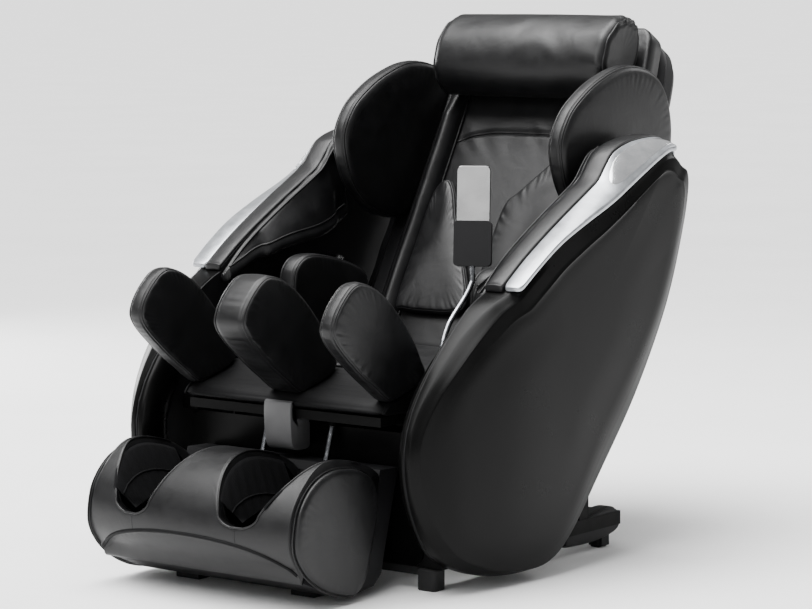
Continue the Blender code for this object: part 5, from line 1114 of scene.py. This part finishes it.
def trough_height(x):
    """Height of the trough's wall over its floor: a round bottom 96 mm wide, then flared walls."""
    off = np.abs(x) - TROUGH_X
    bottom = BOTTOM_RISE * (1 - np.sqrt(np.clip(1 - (off / BOTTOM_HALF) ** 2, 0, 1)))
    wall = np.where(off > 0, (off - BOTTOM_HALF) / FLARE_OUT, (-off - BOTTOM_HALF) / FLARE_IN)
    return bottom + WALL_RISE * np.maximum(wall, 0)


def trough_floor(y):
    """The trough's lowest line: 160 mm high at the toes, falling by a straight slope."""
    return 0.160 + (0.092 - 0.160) * (y + 0.700) / 0.260


def soft_least(a, b, radius):
    """The smaller of two heights, rounded where they meet by a quadratic of that radius."""
    mix = np.clip(0.5 + 0.5 * (b - a) / radius, 0, 1)
    return b + (a - b) * mix - radius * mix * (1 - mix)


def bow(x, y, z):
    """How far the front sets back from its middle, by the square of x, fading out on top."""
    front = np.clip((-0.590 - y) / 0.080, 0, 1) * np.clip((z - 0.06) / 0.03, 0, 1)
    return 0.022 * front * (x / FOOT_HALF_WIDTH) ** 2


def crease_height(x):
    """The seam across the front: 140 mm up in the middle, falling to the ends by a parabola."""
    return 0.140 - 0.52 * x ** 2 - 0.030 * (x / 0.26) ** 6


def front_of_bolster(x, z):
    """Front face of the bolster at a height, with the seam's set-back left out."""
    outer = spline(BOLSTER_OUTER, 400)
    face = outer[:int(np.argmax(outer[:, 1]))]
    y = np.interp(z, face[:, 1], face[:, 0])
    return y + bow(x, y, z)


print("the crease falls from", crease_height(0), "to", round(crease_height(FOOT_HALF_WIDTH), 4))

# %% [markdown]
# ## Foot bolster
# The leather cover is sewn of a front panel, the two saddles over the troughs and two end caps,
# with covered cord round the caps and along the lips. The saddles' short seams meet the lens.

# %% Foot bolster
def trough_rim():
    """Where a trough meets the bolster: both lips from the rear, joined round the front."""
    outer = spline(BOLSTER_OUTER, 2400)
    room = outer[:, 1] - trough_floor(outer[:, 0])
    keep = (outer[:, 0] < -0.462) & (room > 0.001) & (outer[:, 1] > 0.13)
    y, z, room = outer[keep, 0], outer[keep, 1], room[keep]
    low = np.minimum(room, BOTTOM_RISE) / BOTTOM_RISE
    round_part = BOTTOM_HALF * np.sqrt(np.clip(1 - (1 - low) ** 2, 0, 1))
    more = np.maximum(room - BOTTOM_RISE, 0) / WALL_RISE
    lips = []
    for x in (TROUGH_X + round_part + FLARE_OUT * more, TROUGH_X - round_part - FLARE_IN * more):
        lips.append(np.column_stack([x, y + bow(x, y, z), z - 0.0022]))
    path = np.vstack([lips[0][::-1], lips[1]])
    return spline(path[::3], 220)


def foot_bolster():
    """Rings across the unit: the outer profile, lowered where a trough crosses it, and the
    tray's outline behind it."""
    outer = spline(BOLSTER_OUTER, 110)
    inner = np.array([(-0.4140, 0.2350), (-0.4525, 0.105), (-0.4625, 0.0725), (-0.560, 0.0715),
                      (-0.655, 0.0715), (-0.6625, 0.0600)])
    crest = 0.0035 * np.exp(-(np.linspace(0, 1, 110) - 0.33) ** 2 / 0.0018)
    x = np.linspace(-0.2610, 0.2610, 201)
    rings = []
    for at in x:
        y, z = outer[:, 0], outer[:, 1]
        z = soft_least(z, trough_floor(y) + trough_height(np.array(at)), 0.012)
        z = z - crest * np.exp(-((z - outer[:, 1]) / 0.004) ** 2) * 0.4
        y = y + bow(at, y, z)
        below = smooth_step((crease_height(at) - z) / 0.006) * smooth_step((z - 0.060) / 0.030)
        y = y + 0.0105 * below * (y < -0.60)
        rings.append(upright(at, np.vstack([np.column_stack([y, z]), inner])))
    parts = [loft(rings)]
    end = pad(FOOT_END, 0.2590, 0.2828, across_place, 0.003, pipes=(True, False), pucker=0.0002,
              seed=31, count=220, corner=0.014, drop=0.010)
    rim = [tube(trough_rim(), 0.0024, up=(0.3, 0.5, 0.8))]
    z = np.linspace(crease_height(0.1355) + 0.001, 0.160, 12)
    stitch = [tube(np.column_stack([np.full(12, 0.1355), front_of_bolster(0.1355, z) + 0.0004, z]), 0.0012)]
    parts += end + mirrored(end) + rim + mirrored(rim) + stitch + mirrored(stitch)
    return parts


cushion("foot_bolster_cushion", foot_bolster(), "foot_unit", ["foot_bolster"], fill=0.75)

# %% [markdown]
# ## Foot liners
# Each trough is lined with knit fabric over thin air cells, held down by four piped seams that
# run towards the toes. The liner follows the trough's own surface, a few millimetres above it.

# %% Foot liners
def foot_liner():
    """Fabric in one trough: the trough's own surface 3 mm up, ending in a hem below its lips."""
    outer = spline(BOLSTER_OUTER, 400)
    top = outer[int(np.argmin(outer[:, 0])):]
    y = np.linspace(-0.700, -0.458, 60)
    ceiling = np.interp(y, top[:, 0], top[:, 1]) - 0.014
    rings = []
    for at, high in zip(y, ceiling):
        room = max(float(high - trough_floor(at)), 0.034)
        more = (room - BOTTOM_RISE) / WALL_RISE
        x_in = TROUGH_X - BOTTOM_HALF - more * FLARE_IN
        x_out = TROUGH_X + BOTTOM_HALF + more * FLARE_OUT
        x = np.linspace(x_in, x_out, 61)
        z = trough_floor(at) + trough_height(x)
        slope = np.gradient(z, x)
        normal = np.column_stack([-slope, np.zeros(61), np.ones(61)]) / np.hypot(1, slope)[:, None]
        base = np.column_stack([x, np.full(61, at), z])
        hem = 1 - np.abs(np.linspace(-1, 1, 61)) ** 12
        fold = 0.0010 * np.sin(at * 210 + x * 60)
        rings.append(np.vstack([base + normal * (0.0012 + 0.0045 * hem + fold * hem)[:, None],
                                (base - normal * 0.004)[::-1]]))
    parts = [loft(rings)]
    for column in (8, 20, 40, 52):
        path = np.array([ring[column] for ring in rings])[3:-3]
        parts.append(tube(path, 0.0020, up=(0.4, 0, 1)))
    return parts


both_sides(cushion, "foot_liner_fabric", foot_liner(), "foot_unit", stands_for=["foot_liner"], fill=0.3,
           finish=FABRIC, slot="black_fabric")

# %% [markdown]
# ## Front seam
# The front panel is set back under a rolled seam, which shows as one dark curve. It is a cord in
# a duller hide laid along the crease, whose darker colour is painted shade for the shadow there.

# %% Front seam
def foot_welt():
    """The dark rolled seam that parts the front panel from the rest, along its curve."""
    x = np.linspace(-0.258, 0.258, 160)
    z = crease_height(x)
    return [tube(np.column_stack([x, front_of_bolster(x, z) + 0.0006, z]), 0.0040, up=(0, 0, 1))]


# Darker leather on the cord: painted shade along the crease.
piece("foot_bolster_welt", foot_welt(), MATT_LEATHER_SHADED, "foot_unit", "black_leather")

# %% [markdown]
# ## Fabric bridge
# A strip of knit fabric closes the gap between the seat and the calf pad, so that nothing falls
# in. It is cut a little long and hangs in a shallow fold.

# %% Fabric bridge
def slack_cloth(start, end, sag, x, rows, ripples):
    """Cloth hung between two edges, given as (y, z). It is straight from edge to edge but for a
    sag and ripples, both times 4 t (1 - t). Gives the parts and its length between the edges."""
    t = np.linspace(0, 1, rows)
    belly = 4 * t * (1 - t)
    y = start[0] + (end[0] - start[0]) * t
    z = start[1] + (end[1] - start[1]) * t - sag * belly
    shape = (rows, len(x))
    top = np.stack([np.broadcast_to(x, shape), np.broadcast_to(y[:, None], shape),
                    z[:, None] + ripples * belly[:, None]], axis=-1)
    return cloth(top, (0, 0, -CLOTH_THICKNESS)), float(np.sum(np.hypot(np.diff(y), np.diff(z))))


bridge_x = np.linspace(-0.222, 0.222, 61)
bridge_parts, bridge_length = slack_cloth((-0.1805, 0.3720), (-0.2560, 0.3800), 0.018, bridge_x, 29,
                                          0.0015 * np.sin(bridge_x * 70 + 2 * np.sin(bridge_x * 19)))
bridge = fabric_sheet("seat_bridge_fabric", bridge_parts, "base", (0.444, bridge_length), "hung",
                      ["seat_cushion_cover", "calf_pad_cushion"])
bridge.parent = None
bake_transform(bridge)
print("bridge", round(bridge_length, 4), "m from edge to edge")

# %% [markdown]
# ## Seat gusset
# Behind the seat a gusset of the same fabric joins the seat to the backrest. It too is slack at
# rest, and its far edge meets the backrest.

# %% Seat gusset
gusset_x = np.linspace(-0.262, 0.262, 81)
gusset_end = back_place(np.zeros(1), np.array([-0.026]), np.array([-0.030]))[0]
gusset_parts, gusset_length = slack_cloth((0.1945, 0.3760), gusset_end[1:], 0.012, gusset_x, 21,
                                          0.0012 * np.sin(gusset_x * 80))
gusset = fabric_sheet("seat_gusset_fabric", gusset_parts, "base", (0.524, gusset_length), "hung",
                      ["seat_cushion_cover", "back_cushion_cover"])
gusset.parent = None
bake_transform(gusset)
print("gusset", round(gusset_length, 4), "m from edge to edge")

# %% [markdown]
# ## Side cloths
# Beside the seat a cloth is stretched over the frame, so that nothing falls down the well
# between the hip pad and the wall. It dips by a few millimetres in the middle.

# %% Side cloths
cloth_x = np.linspace(0.2660, 0.3535, 16)
cloth_rows = [np.column_stack([cloth_x, np.full(16, y), np.full(16, z)])
              for y, z in zip(np.linspace(-0.150, 0.236, 50),
                              0.3440 - 0.004 * np.sin(np.linspace(0, np.pi, 50)))]
both_sides(fabric_sheet, "side_cloth", cloth(cloth_rows, (0, 0, -CLOTH_THICKNESS)), "base",
           (0.0875, 0.386), "stretched", ["base_frame"])

# %% [markdown]
# ## Dust curtains
# Under the seat black curtains hang behind the front cover, so that nobody looks into the base
# from the front. They are cut a little wide, and the extra width hangs in waves.

# %% Dust curtains
def curtain(x, y, heights):
    """Rows of one wavy line at each height, with the cloth's thickness behind it."""
    rows = [np.column_stack([x, y, np.full(len(x), z)]) for z in heights]
    return cloth(rows, (0, CLOTH_THICKNESS, 0))


middle_x = np.linspace(-0.256, 0.256, 160)
middle = curtain(middle_x, -0.150 + 0.0022 * np.sin(middle_x * 170 + 2 * np.sin(middle_x * 31)),
                 np.linspace(0.268, 0.343, 12))
fabric_sheet("dust_curtain_middle", middle, "base", (0.541, 0.075), "hung", ["base_frame"])
side_x = np.linspace(0.262, 0.3535, 40)
both_sides(fabric_sheet, "dust_curtain", curtain(side_x, -0.140 + 0.0022 * np.sin(side_x * 190),
                                                 np.linspace(0.060, 0.343, 30)),
           "base", (0.0965, 0.283), "hung", ["base_frame"])
